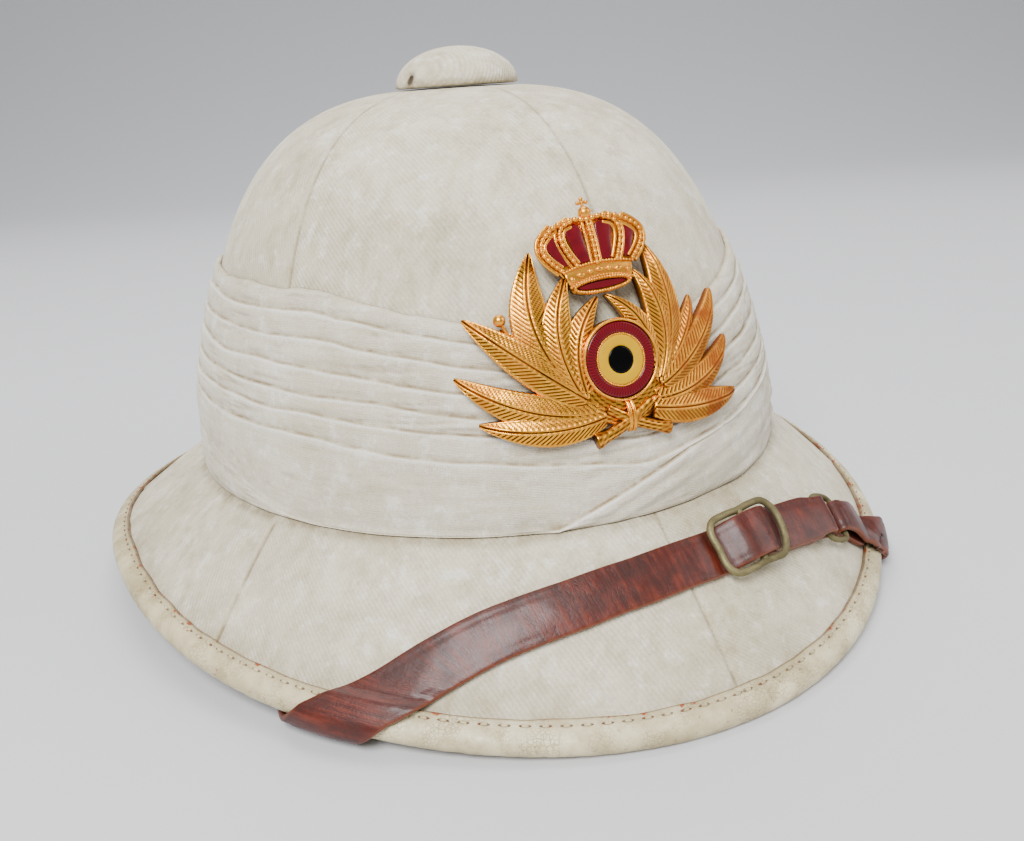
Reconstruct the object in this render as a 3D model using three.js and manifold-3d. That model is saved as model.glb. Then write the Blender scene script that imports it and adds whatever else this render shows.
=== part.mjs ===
// Sun helmet of pith with a cloth cover: a domed crown, a sloping brim bound in leather,
// a pleated puggaree, a ventilator button, a gilt wreath badge and a leather chin strap.
// Millimetres. +Z is up, the front faces -Y, and the wearer's left is +X.
// The origin is on the surface that the helmet rests on, under the middle of its box.
import * as THREE from 'three';
import { mergeVertices } from 'three/addons/utils/BufferGeometryUtils.js';
import Module from 'manifold-3d';

const wasm = await Module();
wasm.setup();

// Driving dimensions
const GAP = 0.3;
const COLUMNS = 48;
const SEAMS = 6;
const SEAM_SHARPNESS = 24;
const WIRE_SIDES = 5;
const ROD_SIDES = 6;

const CROWN = {
  halfLength: 114.5,
  halfWidth: 98,
  height: 124.6,
  sidePower: 3.11,
  topPower: 2.07,
  wall: 3,
  seamDepth: 0.5,
  rows: 12,
  innerRows: 6,
};

const BRIM = {
  front: 49.3,
  back: 60.2,
  side: 42,
  footTilt: 5.75,
  footWave: 0.8,
  shoulderFill: 0.008,
  noseFill: 0.017,
  dropFront: 37.9,
  dropBack: 36.9,
  dropSides: 24.8,
  dropPower: 1.31,
  crowning: 0.95,
  wall: 3,
  seamDepth: 0.4,
};

// The turns are where its rounded edge has corners, in degrees from the upper face
const BINDING = { leather: 1.7, width: 9, thinning: 0.5, turns: [15, 52, 88], restSpread: 12 };
BINDING.radius = BRIM.wall / 2 + GAP + BINDING.leather;

const BASE_Z = 39.4;
const CENTRE_Y = -(BRIM.back - BRIM.front) / 2;

const PUGGAREE = {
  bottomStand: 5.9,
  topStand: 2.1,
  fold: 0.88,
  foldRelief: 0.25,
  tuck: 0.1,
  lining: 0.15,
  belly: 0.3,
  hem: 0.2,
  dipHalfAngle: 52,
  dipPower: 1.25,
  crossingFrom: 17,
  crossingTo: -40,
  crossingSlope: 0.95,
  crossingStep: 0.7,
  crossingMargin: 2.4,
  crossingRelief: 0.3,
};

// Upper edge of each fold: its height at the sides and at the middle of the front
const FOLDS = [
  { name: 'top', side: 110.5, front: 92.5 },
  { name: 'second', side: 104.5, front: 88.0 },
  { name: 'third', side: 97.5, front: 82.5 },
  { name: 'fourth', side: 90.0, front: 77.0 },
  { name: 'fifth', side: 82.4, front: 72.0 },
  { name: 'sixth', side: 76.8, front: 68.0 },
  { name: 'seventh', side: 70.6, front: 60.5 },
];

const BUTTON = { radius: 21.3, height: 13.2, forward: 4, roundness: 2.3, hem: 0.9, hollow: 0.6, rows: 6 };

const BADGE = {
  centreX: -6.3,
  lowZ: 68,
  highZ: 131,
  lowStand: 5.8,
  highStand: 1.0,
  plate: 1.1,
};

// How every leaf is cut: its shares from root to tip, and its relief
const LEAF = {
  rows: 5,
  rootShare: 0.12,
  tipShare: 0.98,
  bluntness: 0.85,
  fullness: 0.8,
  leastHalf: 0.35,
  midrib: 1.0,
  tipDrop: 0.5,
  tipFrom: 0.8,
};

// Leaves of the wreath as seen from the front: tip, root, greatest width, bow of the midrib and lift
const LEAVES = [
  { name: 'left top', tipX: -23.0, tipZ: 118.1, rootX: -20.5, rootZ: 84.0, wide: 10.2, bow: 5.0, lift: 0.5 },
  { name: 'left next', tipX: -15.6, tipZ: 111.4, rootX: -18.5, rootZ: 82.0, wide: 8.2, bow: 4.2, lift: 0.9 },
  { name: 'left inner', tipX: -8.4, tipZ: 105.5, rootX: -17.0, rootZ: 82.0, wide: 6.8, bow: 3.6, lift: 0.7 },
  { name: 'left high', tipX: -42.5, tipZ: 102.5, rootX: -17.0, rootZ: 80.0, wide: 9.6, bow: 0.5, lift: 0.8 },
  { name: 'left thin', tipX: -34.3, tipZ: 99.7, rootX: -21.0, rootZ: 84.0, wide: 5.4, bow: 0.8, lift: 0.1 },
  { name: 'left low', tipX: -46.8, tipZ: 87.8, rootX: -15.0, rootZ: 76.0, wide: 9.2, bow: 3.2, lift: 0.5 },
  { name: 'left lowest', tipX: -42.9, tipZ: 75.8, rootX: -13.0, rootZ: 75.0, wide: 8.3, bow: 2.2, lift: 0.9 },
  { name: 'right top', tipX: 9.2, tipZ: 118.2, rootX: 5.0, rootZ: 83.0, wide: 8.6, bow: -4.6, lift: 0.5 },
  { name: 'right next', tipX: 4.0, tipZ: 110.8, rootX: 4.0, rootZ: 82.5, wide: 7.6, bow: -4.2, lift: 0.9 },
  { name: 'right inner', tipX: -6.0, tipZ: 105.7, rootX: 3.5, rootZ: 83.0, wide: 6.0, bow: -3.6, lift: 0.7 },
  { name: 'right thin', tipX: 21.9, tipZ: 101.2, rootX: 7.0, rootZ: 84.0, wide: 5.2, bow: -1.0, lift: 0.1 },
  { name: 'right high', tipX: 30.8, tipZ: 101.1, rootX: 4.5, rootZ: 80.5, wide: 7.8, bow: -2.6, lift: 0.8 },
  { name: 'right low', tipX: 32.8, tipZ: 87.6, rootX: 3.0, rootZ: 77.0, wide: 8.0, bow: -3.4, lift: 0.5 },
  { name: 'right lowest', tipX: 32.4, tipZ: 72.3, rootX: 1.0, rootZ: 75.0, wide: 8.7, bow: -1.4, lift: 0.9 },
];

const STEMS = [
  { name: 'left stem', fromX: 0.6, fromZ: 76.8, toX: -16.0, toZ: 68.9, radius: 1.7 },
  { name: 'right stem', fromX: -12.0, fromZ: 76.9, toX: 5.0, toZ: 68.8, radius: 1.6 },
];

const STEM = { steps: 4, sag: 2.2, bend: 0.3 };
const TIE = { x: 0.4, z: 74.2, width: 2.6, height: 8.6, stand: 3.9 };
const BERRY = { x: -34.1, z: 101.9, radius: 1.7 };
const TWIG = { x: -31.3, z: 94.6, stand: 0.8, radius: 0.55 };

const ROUNDEL = {
  z: 88.8,
  rim: 11.2,
  well: 10.5,
  depth: 1.3,
  seat: 0.6,
  lip: 0.4,
  redInner: 7.3,
  yellowInner: 3.9,
  sides: 20,
};

// Half outline of the badge's crown from the foot to the orb, across and up from its foot's middle
const CROWN_OUTLINE = [
  { across: 8.9, up: 1.4 },
  { across: 11.4, up: 5.2 },
  { across: 15.4, up: 9.4 },
  { across: 16.3, up: 12.6 },
  { across: 14.2, up: 15.4 },
  { across: 9.4, up: 18.9 },
  { across: 5.2, up: 19.6 },
  { across: 1.6, up: 18.9 },
];
// Enamel cells between the arches: middle of the foot and of the head, and their half widths
const CROWN_CELLS = [
  { name: 'enamel_cell_1', footX: -8.4, footZ: 7.4, headX: -12.7, headZ: 13.2, footHalf: 1.3, headHalf: 1.6 },
  { name: 'enamel_cell_2', footX: -3.0, footZ: 8.2, headX: -5.0, headZ: 16.2, footHalf: 1.4, headHalf: 2.1 },
  { name: 'enamel_cell_3', footX: 3.2, footZ: 8.0, headX: 5.0, headZ: 16.1, footHalf: 1.4, headHalf: 1.9 },
  { name: 'enamel_cell_4', footX: 8.7, footZ: 7.4, headX: 12.3, headZ: 12.8, footHalf: 1.3, headHalf: 1.7 },
];
const CELL_CAP = { rise: 0.9, share: 0.4 };
const BADGE_CROWN = { z: 108.2, tilt: 3, plate: 1.1, relief: 1.1 };
const BADGE_FOOT = { half: 9.2, height: 2.1, proud: 0.5, rimAcross: 1.6, rimUp: 0.9 };
const BADGE_BAND = { lowHalf: 9.2, lowUp: 0.2, highHalf: 10.6, highUp: 4.9, middleUp: 6.3, proud: 0.7 };
const FINIAL = {
  orb: 1.8,
  orbUp: 20.2,
  post: 1.3,
  postHeight: 4.4,
  postUp: 22.1,
  arm: 2.8,
  thick: 1.2,
  armUp: 23.1,
};

const STRAP = {
  width: 14,
  thick: 2,
  clear: 0.5,
  tabRise: 15,
  underAngle: 36,
  shortStep: 3.4,
  longStep: 8,
  courseSteps: 120,
  lipSeat: 1,
  bindingFrom: 0.5,
  bindingFull: 4.5,
  leanFrom: -26,
  leanFull: -3,
  pinch: 0.16,
  pinchReach: 15,
};

// Middle line of the strap over the brim: 0 along is the crown's foot and 1 the brim's edge
const STRAP_LINE = [
  { degrees: 41, along: 0.965 },
  { degrees: 36, along: 0.82 },
  { degrees: 30, along: 0.63 },
  { degrees: 23, along: 0.47 },
  { degrees: 15, along: 0.37 },
  { degrees: 7, along: 0.31 },
  { degrees: -1, along: 0.285 },
  { degrees: -9, along: 0.29 },
  { degrees: -17, along: 0.345 },
  { degrees: -25, along: 0.45 },
  { degrees: -31, along: 0.6 },
  { degrees: -36, along: 0.8 },
  { degrees: -40, along: 0.97 },
];

const BUCKLE = {
  degrees: -10.2,
  wire: 1.05,
  leftReach: 12.5,
  rightReach: 12,
  leftHalf: 8.7,
  rightHalf: 8.7,
  waistHalf: 8.4,
  stand: 5.2,
  tilt: 5.5,
  steps: 28,
};
const RING = {
  beyondBuckle: 42.5,
  wire: 0.9,
  halfLength: 5.2,
  halfWidth: 6,
  sideBow: 1.2,
  cornerCut: 2,
  stand: 3.65,
  squeeze: 0.15,
  steps: 16,
};
const STUD = { head: 4.5, headThick: 1.5, shank: 1.6, inset: 9, facetAllowance: 0.4, seat: 0.6, sides: 8 };
// Reach of a bored hole either side of the strap's underside
const HOLE = { from: -4, to: 6 };

// Finishes
const FINISH = {
  cloth: { color: 0xd8d4c6, roughness: 0.92, metalness: 0 },
  puggaree: { color: 0xdedbd0, roughness: 0.9, metalness: 0 },
  binding: { color: 0xd9d0b4, roughness: 0.55, metalness: 0 },
  strap: { color: 0x64281c, roughness: 0.5, metalness: 0 },
  nickel: { color: 0x8f8c70, roughness: 0.45, metalness: 0.9 },
  gilt: { color: 0xc08a35, roughness: 0.3, metalness: 1 },
  red: { color: 0x8a1722, roughness: 0.15, metalness: 0 },
  yellow: { color: 0xf2c230, roughness: 0.2, metalness: 0 },
  black: { color: 0x0b0b0b, roughness: 0.15, metalness: 0 },
};

const hat = new THREE.Group();
const rad = THREE.MathUtils.degToRad;
const deg = THREE.MathUtils.radToDeg;
const mix = THREE.MathUtils.lerp;
const smooth = THREE.MathUtils.smoothstep;

// Sends a geometry's vertices through a rule and welds them
function reshape(geometry, rule) {
  const place = geometry.attributes.position;
  for (let i = 0; i < place.count; i += 1) {
    const p = rule(new THREE.Vector3().fromBufferAttribute(place, i), i);
    place.setXYZ(i, p.x, p.y, p.z);
  }
  return weld(geometry);
}

function weld(geometry) {
  geometry.deleteAttribute('normal');
  geometry.deleteAttribute('uv');
  return outward(mergeVertices(geometry, 1e-4));
}

// Drops collapsed triangles and turns the rest so that they face out
function outward(geometry) {
  const place = geometry.attributes.position;
  const kept = [];
  let volume = 0;
  const corners = [new THREE.Vector3(), new THREE.Vector3(), new THREE.Vector3()];
  for (let i = 0; i < geometry.index.count; i += 3) {
    const ids = [0, 1, 2].map((k) => geometry.index.getX(i + k));
    if (ids[0] === ids[1] || ids[1] === ids[2] || ids[2] === ids[0]) continue;
    ids.forEach((id, k) => corners[k].fromBufferAttribute(place, id));
    volume += corners[0].dot(corners[1].clone().cross(corners[2]));
    kept.push(ids);
  }
  geometry.setIndex(kept.flatMap(([a, b, c]) => (volume > 0 ? [a, b, c] : [a, c, b])));
  return geometry;
}

function addPart(name, geometry, finish) {
  geometry.computeVertexNormals();
  const mesh = new THREE.Mesh(geometry, new THREE.MeshStandardMaterial(FINISH[finish]));
  mesh.name = name;
  hat.add(mesh);
  return mesh;
}

function toSolid(geometry) {
  const mesh = new wasm.Mesh({
    numProp: 3,
    vertProperties: new Float32Array(geometry.attributes.position.array),
    triVerts: new Uint32Array(geometry.index.array),
  });
  return new wasm.Manifold(mesh);
}

function toGeometry(solid) {
  const mesh = solid.getMesh();
  const geometry = new THREE.BufferGeometry();
  geometry.setAttribute('position', new THREE.BufferAttribute(new Float32Array(mesh.vertProperties), 3));
  geometry.setIndex(new THREE.BufferAttribute(new Uint32Array(mesh.triVerts), 1));
  return geometry;
}

// Joins welded geometries into one solid
function joined(geometries) {
  return geometries.map(toSolid).reduce((whole, next) => whole.add(next));
}

// The angle phi is 0 at the front and grows towards -X
function fromAxis(phi, radius, z) {
  return new THREE.Vector3(-radius * Math.sin(phi), CENTRE_Y - radius * Math.cos(phi), z);
}

function planRadius(phi, halfLength, halfWidth) {
  return 1 / Math.hypot(Math.cos(phi) / halfLength, Math.sin(phi) / halfWidth);
}

// Taper of the crown at a height above its base
function crownTaper(rise, height = CROWN.height) {
  const share = THREE.MathUtils.clamp(rise / height, 0, 1);
  return (1 - share ** CROWN.topPower) ** (1 / CROWN.sidePower);
}

function crownRadius(phi, z) {
  return planRadius(phi, CROWN.halfLength, CROWN.halfWidth) * crownTaper(z - BASE_Z);
}

function innerRadius(phi, z) {
  const plan = planRadius(phi, CROWN.halfLength - CROWN.wall, CROWN.halfWidth - CROWN.wall);
  return plan * crownTaper(z - BASE_Z, CROWN.height - CROWN.wall);
}

function seamGroove(phi) {
  return Math.abs(Math.cos((phi * SEAMS) / 2)) ** SEAM_SHARPNESS;
}

// Height of the line where the brim leaves the crown
function footHeight(phi) {
  return BASE_Z + BRIM.footTilt * Math.cos(phi) - BRIM.footWave * Math.cos(2 * phi);
}

// The brim's section at an angle: its foot, its edge, the way down its slope and the way up from it
function brimSection(phi) {
  const [reach, drop] = Math.cos(phi) > 0 ? [BRIM.front, BRIM.dropFront] : [BRIM.back, BRIM.dropBack];
  const plan = planRadius(phi, CROWN.halfLength + reach, CROWN.halfWidth + BRIM.side);
  const shoulder = (BRIM.shoulderFill * (Math.cos(6 * phi) - Math.cos(2 * phi))) / 2;
  const nose = (BRIM.noseFill * (Math.cos(3 * phi) - Math.cos(phi))) / 2;
  const sink = mix(BRIM.dropSides, drop, Math.abs(Math.cos(phi)) ** BRIM.dropPower);
  const stand = PUGGAREE.bottomStand;
  const foot = new THREE.Vector2(
    planRadius(phi, CROWN.halfLength + stand, CROWN.halfWidth + stand),
    footHeight(phi),
  );
  const edge = new THREE.Vector2(plan * (1 + shoulder + nose), BASE_Z - sink);
  const down = edge.clone().sub(foot).normalize();
  const up = new THREE.Vector2(-down.y, down.x);
  return { foot, edge, down, up, length: edge.distanceTo(foot) };
}

// A point above the brim's upper face, in the plane of the section
function overBrim(section, along, proud) {
  const p = section.foot.clone().lerp(section.edge, along);
  const share = Math.min(1, along / (1 - BINDING.width / section.length));
  p.y += BRIM.crowning * 4 * share * (1 - share);
  return p.addScaledVector(section.up, proud);
}

// A ring or dome: every section has the same count of points, as pairs of radius and height
function ring(sectionAt) {
  const first = sectionAt(0);
  const geometry = new THREE.LatheGeometry(first, COLUMNS);
  const count = first.length;
  return reshape(geometry, (_, i) => {
    const column = Math.floor(i / count) % COLUMNS;
    const phi = (column / COLUMNS) * 2 * Math.PI;
    const p = sectionAt(phi)[i % count];
    return fromAxis(phi, p.x, p.y);
  });
}

// Crown: an open dome with its gore seams sunk a little
function crownDome() {
  const heightAt = (share, height) => height * Math.sin((share * Math.PI) / 2) ** (2 / CROWN.topPower);
  return ring((phi) => {
    const foot = footHeight(phi) + GAP;
    const outer = [];
    const inner = [];
    for (let row = 0; row <= CROWN.rows; row += 1) {
      const z = row === 0 ? foot : BASE_Z + heightAt(row / CROWN.rows, CROWN.height);
      const groove = CROWN.seamDepth * seamGroove(phi) * (row < CROWN.rows ? 1 : 0);
      outer.push(new THREE.Vector2(Math.max(0, crownRadius(phi, z) - groove), z));
    }
    for (let row = CROWN.innerRows; row >= 0; row -= 1) {
      const rise = heightAt(row / CROWN.innerRows, CROWN.height - CROWN.wall);
      const z = row === 0 ? foot : BASE_Z + rise;
      inner.push(new THREE.Vector2(innerRadius(phi, z), z));
    }
    outer[CROWN.rows].x = 0;
    inner[0].x = 0;
    return [...inner, ...outer];
  });
}

// Brim: a sloping ring with a ledge under the crown and the puggaree
function brimRing() {
  return ring((phi) => {
    const section = brimSection(phi);
    const end = 1 - (GAP + BINDING.leather + BINDING.thinning) / section.length;
    const ledge = new THREE.Vector2(innerRadius(phi, BASE_Z), section.foot.y);
    const bound = 1 - BINDING.width / section.length;
    const stations = [bound * 0.5, bound, end];
    const groove = -BRIM.seamDepth * seamGroove(phi);
    const top = stations.map((along) => overBrim(section, along, groove));
    const under = stations.map((along) => overBrim(section, along, -BRIM.wall)).reverse();
    const heel = section.foot.clone().addScaledVector(section.up, -BRIM.wall);
    const inside = new THREE.Vector2(ledge.x, ledge.y - BRIM.wall);
    const heelIn = new THREE.Vector2(heel.x, Math.min(heel.y, inside.y));
    return [ledge, section.foot, ...top, ...under, heelIn, inside, ledge];
  });
}

// Binding: a leather channel round the brim's edge, worn flat where it stands
function nosePoint(section, distance, offset) {
  const middle = section.edge.clone().addScaledVector(section.up, -BRIM.wall / 2);
  return middle.addScaledVector(section.down, -distance).addScaledVector(section.up, offset);
}

function onNose(section, turn, radius) {
  const out = Math.sin(turn) * radius;
  return nosePoint(section, BINDING.radius - out, Math.cos(turn) * radius);
}

function bindingRing() {
  const r = BINDING.radius;
  const inner = BRIM.wall / 2 + GAP;
  return ring((phi) => {
    const section = brimSection(phi);
    const straightDown = Math.PI / 2 + Math.atan2(section.down.x, -section.down.y);
    const spread = rad(BINDING.restSpread);
    const turns = BINDING.turns.map(rad);
    turns.push(straightDown - spread, straightDown + spread, Math.PI);
    const nose = turns.map((turn) => onNose(section, turn, r));
    const outer = r - BINDING.thinning;
    const bottom = BINDING.leather + GAP / 2;
    const points = [
      nosePoint(section, BINDING.width, inner),
      nosePoint(section, BINDING.width, outer),
      ...nose,
      nosePoint(section, BINDING.width, -outer),
      nosePoint(section, BINDING.width, -inner),
      nosePoint(section, bottom, -inner),
      nosePoint(section, bottom, inner),
      nosePoint(section, BINDING.width, inner),
    ];
    points.forEach((p) => {
      p.y = Math.max(0, p.y);
    });
    return points;
  });
}

// Puggaree: a wrapped cloth band whose folds overlap upwards, with the wrap's end crossing the front
function signedDegrees(phi) {
  return THREE.MathUtils.euclideanModulo(deg(phi) + 180, 360) - 180;
}

function foldHeight(fold, phi) {
  const share = THREE.MathUtils.clamp(1 - Math.abs(signedDegrees(phi)) / PUGGAREE.dipHalfAngle, 0, 1);
  return mix(fold.side, fold.front, share ** PUGGAREE.dipPower);
}

// Height of the line where the lower band's upper edge shows
function crossingHeight(phi) {
  const turn = signedDegrees(phi);
  const foot = footHeight(phi);
  const last = foldHeight(FOLDS[FOLDS.length - 1], phi);
  const line = foot + (PUGGAREE.crossingFrom - turn) * PUGGAREE.crossingSlope;
  const margin = PUGGAREE.crossingMargin;
  const front = THREE.MathUtils.clamp(line, foot + margin, last - margin);
  return mix(front, (foot + last) / 2, smooth(Math.abs(turn), 50, 90));
}

function puggareeBand() {
  return ring((phi) => {
    const foot = footHeight(phi) + GAP;
    const outside = (z, stand) => new THREE.Vector2(crownRadius(phi, z) + stand, z);
    const { bottomStand, topStand, fold: step, foldRelief, tuck, crossingRelief } = PUGGAREE;
    const rise = (bottomStand - topStand) / (FOLDS.length - 1);
    const outer = [];
    FOLDS.forEach((fold, i) => {
      const z = foldHeight(fold, phi);
      const above = topStand + rise * (i - 1);
      if (i > 0) outer.push(outside(z + foldRelief, above - tuck));
      outer.push(outside(z - foldRelief, above + step));
    });
    const crossing = crossingHeight(phi);
    const wrapped = signedDegrees(phi);
    const covered = wrapped > PUGGAREE.crossingTo && wrapped < PUGGAREE.crossingFrom;
    const over = covered ? PUGGAREE.crossingStep : 0;
    outer.push(outside(crossing + crossingRelief, bottomStand - tuck));
    outer.push(outside(crossing - crossingRelief, bottomStand - tuck + over));
    outer.push(outside((foot + crossing) / 2, bottomStand + PUGGAREE.belly));
    outer.push(outside(foot, bottomStand - PUGGAREE.hem));
    const innerTop = foldHeight(FOLDS[0], phi) - foldRelief;
    const inner = [0, 0.3, 0.55, 0.8, 1].map((share) => {
      const z = mix(foot, innerTop, share);
      return outside(z, GAP + PUGGAREE.lining);
    });
    return [inner[inner.length - 1], ...outer, ...inner];
  });
}

// Button: a cloth cap over the ventilator, a little forward of the crown's middle
function buttonCap() {
  const { radius, height, roundness, hem, hollow, rows } = BUTTON;
  const top = BASE_Z + CROWN.height;
  const profile = [
    new THREE.Vector2(0, GAP),
    new THREE.Vector2(radius * hollow, GAP),
    new THREE.Vector2(radius, GAP / 3),
  ];
  for (let row = 0; row <= rows; row += 1) {
    const turn = (row / rows) * (Math.PI / 2);
    const across = row === rows ? 0 : radius * Math.cos(turn) ** (2 / roundness);
    profile.push(new THREE.Vector2(across, mix(hem, height, Math.sin(turn))));
  }
  const geometry = new THREE.LatheGeometry(profile, COLUMNS / 2);
  return reshape(geometry, (p) => new THREE.Vector3(p.x, CENTRE_Y - BUTTON.forward + p.z, top + p.y));
}

// Badge: where a place seen from the front lies above the crown's face
function badgeStand(z) {
  return mix(BADGE.lowStand, BADGE.highStand, (z - BADGE.lowZ) / (BADGE.highZ - BADGE.lowZ));
}

function crownFace(x, z) {
  const taper = crownTaper(z - BASE_Z);
  const y = CROWN.halfLength * Math.sqrt(Math.max(0, taper ** 2 - (x / CROWN.halfWidth) ** 2));
  return new THREE.Vector3(x, CENTRE_Y - y, z);
}

function crownNormal(x, z) {
  const step = 0.5;
  const across = crownFace(x + step, z).sub(crownFace(x - step, z));
  const rise = crownFace(x, z + step).sub(crownFace(x, z - step));
  return across.cross(rise).normalize();
}

function onBadge(x, z, height) {
  return crownFace(x, z).addScaledVector(crownNormal(x, z), badgeStand(z) + height);
}

// A frame that lies flat on the crown's face at one place, turned in its plane by a tilt
function badgeFrame(x, z, tilt = 0) {
  const normal = crownNormal(x, z);
  const across = new THREE.Vector3(0, 0, 1).cross(normal).negate().normalize();
  across.applyAxisAngle(normal, rad(tilt));
  if (across.x < 0) across.negate();
  const rise = normal.clone().cross(across);
  const frame = new THREE.Matrix4().makeBasis(across, rise, normal);
  return frame.setPosition(onBadge(x, z, 0));
}

// A leaf: a flat lens with a raised midrib, bent along its bow and over the crown
function leaf(row) {
  const box = new THREE.BoxGeometry(2, 1, 1, 2, LEAF.rows, 1);
  const tip = new THREE.Vector2(row.tipX, row.tipZ);
  const root = new THREE.Vector2(row.rootX, row.rootZ);
  const way = tip.clone().sub(root);
  const side = new THREE.Vector2(-way.y, way.x).normalize();
  return reshape(box, (p) => {
    const share = p.y + 0.5;
    const reach = mix(LEAF.rootShare, LEAF.tipShare, share) ** LEAF.bluntness;
    const swell = Math.sin(Math.PI * reach) ** LEAF.fullness;
    const half = Math.max(LEAF.leastHalf, (row.wide / 2) * swell);
    const bowed = row.bow * 4 * share * (1 - share);
    const place = root.clone().addScaledVector(way, share).addScaledVector(side, bowed + p.x * half);
    const ridge = (1 - Math.abs(p.x)) * LEAF.midrib * Math.min(1, half);
    const high = BADGE.plate + row.lift + ridge - LEAF.tipDrop * smooth(share, LEAF.tipFrom, 1);
    return onBadge(place.x, place.y, p.z > 0 ? high : 0);
  });
}

function stem(row) {
  const curve = new THREE.QuadraticBezierCurve3(
    onBadge(row.fromX, row.fromZ, row.radius),
    onBadge((row.fromX + row.toX) / 2, row.toZ + STEM.sag, row.radius + STEM.bend),
    onBadge(row.toX, row.toZ, row.radius),
  );
  return tube(curve, row.radius, STEM.steps, ROD_SIDES);
}

function tube(curve, radius, steps, sides) {
  const circle = new THREE.Shape(
    Array.from({ length: sides }, (_, k) => {
      const turn = (k / sides) * 2 * Math.PI;
      return new THREE.Vector2(radius * Math.cos(turn), radius * Math.sin(turn));
    }),
  );
  const options = { steps, bevelEnabled: false, extrudePath: curve };
  return weld(new THREE.ExtrudeGeometry(circle, options));
}

function disc(outer, inner, from, to, sides = ROUNDEL.sides) {
  const profile = [
    new THREE.Vector2(inner, from),
    new THREE.Vector2(outer, from),
    new THREE.Vector2(outer, to),
    new THREE.Vector2(inner, to),
  ];
  if (inner > 0) profile.push(profile[0].clone());
  return weld(new THREE.LatheGeometry(profile, sides).rotateX(Math.PI / 2));
}

// Enamel rings and the gilt seat that holds them
function roundel() {
  const frame = badgeFrame(BADGE.centreX, ROUNDEL.z);
  const floor = BADGE.plate + ROUNDEL.seat;
  const top = floor + ROUNDEL.depth;
  const rimTop = top + ROUNDEL.lip;
  const seat = joined([disc(ROUNDEL.rim, 0, 0, floor), disc(ROUNDEL.rim, ROUNDEL.well, 0, rimTop)]);
  const laid = (outer, inner) => disc(outer, inner, floor + GAP, top).applyMatrix4(frame);
  addPart('roundel_red', laid(ROUNDEL.well - GAP, ROUNDEL.redInner), 'red');
  addPart('roundel_yellow', laid(ROUNDEL.redInner - GAP, ROUNDEL.yellowInner), 'yellow');
  addPart('roundel_black', laid(ROUNDEL.yellowInner - GAP, 0), 'black');
  const hollow = disc(ROUNDEL.well, 0, floor, top + HOLE.to).applyMatrix4(frame);
  return { solid: toSolid(toGeometry(seat).applyMatrix4(frame)), hollow: toSolid(hollow) };
}

function plate(points, from, to) {
  const options = { depth: to - from, bevelEnabled: false };
  return weld(new THREE.ExtrudeGeometry(new THREE.Shape(points), options).translate(0, 0, from));
}

function cellOutline(cell, inset) {
  const foot = new THREE.Vector2(cell.footX, cell.footZ);
  const head = new THREE.Vector2(cell.headX, cell.headZ);
  const way = head.clone().sub(foot).normalize();
  const side = new THREE.Vector2(-way.y, way.x);
  const corner = (base, half, push) =>
    base.clone().addScaledVector(side, half).addScaledVector(way, push);
  const footHalf = cell.footHalf - inset;
  const headHalf = cell.headHalf - inset;
  const capHalf = headHalf * CELL_CAP.share;
  return [
    corner(foot, footHalf, inset),
    corner(head, headHalf, -inset),
    corner(head, capHalf, CELL_CAP.rise - inset),
    corner(head, -capHalf, CELL_CAP.rise - inset),
    corner(head, -headHalf, -inset),
    corner(foot, -footHalf, inset),
  ];
}

function ovalOutline(half, height, z, count = 14) {
  return Array.from({ length: count }, (_, k) => {
    const turn = (k / count) * 2 * Math.PI;
    return new THREE.Vector2(half * Math.cos(turn), z + height * Math.sin(turn));
  });
}

// The crown of the badge: a plate with pockets for the enamel, a foot, an orb and a finial
function badgeCrown() {
  const frame = badgeFrame(BADGE.centreX, BADGE_CROWN.z, BADGE_CROWN.tilt);
  const right = CROWN_OUTLINE.map((row) => new THREE.Vector2(row.across, row.up));
  const left = CROWN_OUTLINE.map((row) => new THREE.Vector2(-row.across, row.up)).reverse();
  const floor = BADGE_CROWN.plate;
  const high = floor + BADGE_CROWN.relief;
  const { lowHalf, lowUp, highHalf, highUp, middleUp } = BADGE_BAND;
  const band = [
    new THREE.Vector2(-lowHalf, lowUp),
    new THREE.Vector2(lowHalf, lowUp),
    new THREE.Vector2(highHalf, highUp),
    new THREE.Vector2(0, middleUp),
    new THREE.Vector2(-highHalf, highUp),
  ];
  const { orb, orbUp, post, postHeight, postUp, arm, thick, armUp } = FINIAL;
  let solid = joined([
    plate([...right, ...left], 0, high),
    plate(ovalOutline(BADGE_FOOT.half, BADGE_FOOT.height, 0), 0, high + BADGE_FOOT.proud),
    plate(band, 0, high + BADGE_BAND.proud),
    weld(new THREE.SphereGeometry(orb, 8, 6).translate(0, orbUp, high)),
    weld(new THREE.BoxGeometry(post, postHeight, post).translate(0, postUp, high)),
    weld(new THREE.BoxGeometry(arm, thick, thick).translate(0, armUp, high)),
  ]);
  const pocket = (outline) => toSolid(plate(outline, floor, high + HOLE.to));
  CROWN_CELLS.forEach((cell) => {
    solid = solid.subtract(pocket(cellOutline(cell, 0)));
    const enamel = plate(cellOutline(cell, GAP), floor + GAP, high - GAP);
    addPart(cell.name, enamel.applyMatrix4(frame), 'red');
  });
  const mouthHalf = BADGE_FOOT.half - BADGE_FOOT.rimAcross;
  const mouthHeight = BADGE_FOOT.height - BADGE_FOOT.rimUp;
  solid = solid.subtract(pocket(ovalOutline(mouthHalf, mouthHeight, 0)));
  const lining = plate(ovalOutline(mouthHalf - GAP, mouthHeight - GAP, 0), floor + GAP, high);
  addPart('enamel_foot', lining.applyMatrix4(frame), 'red');
  return toSolid(toGeometry(solid).applyMatrix4(frame));
}

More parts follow.
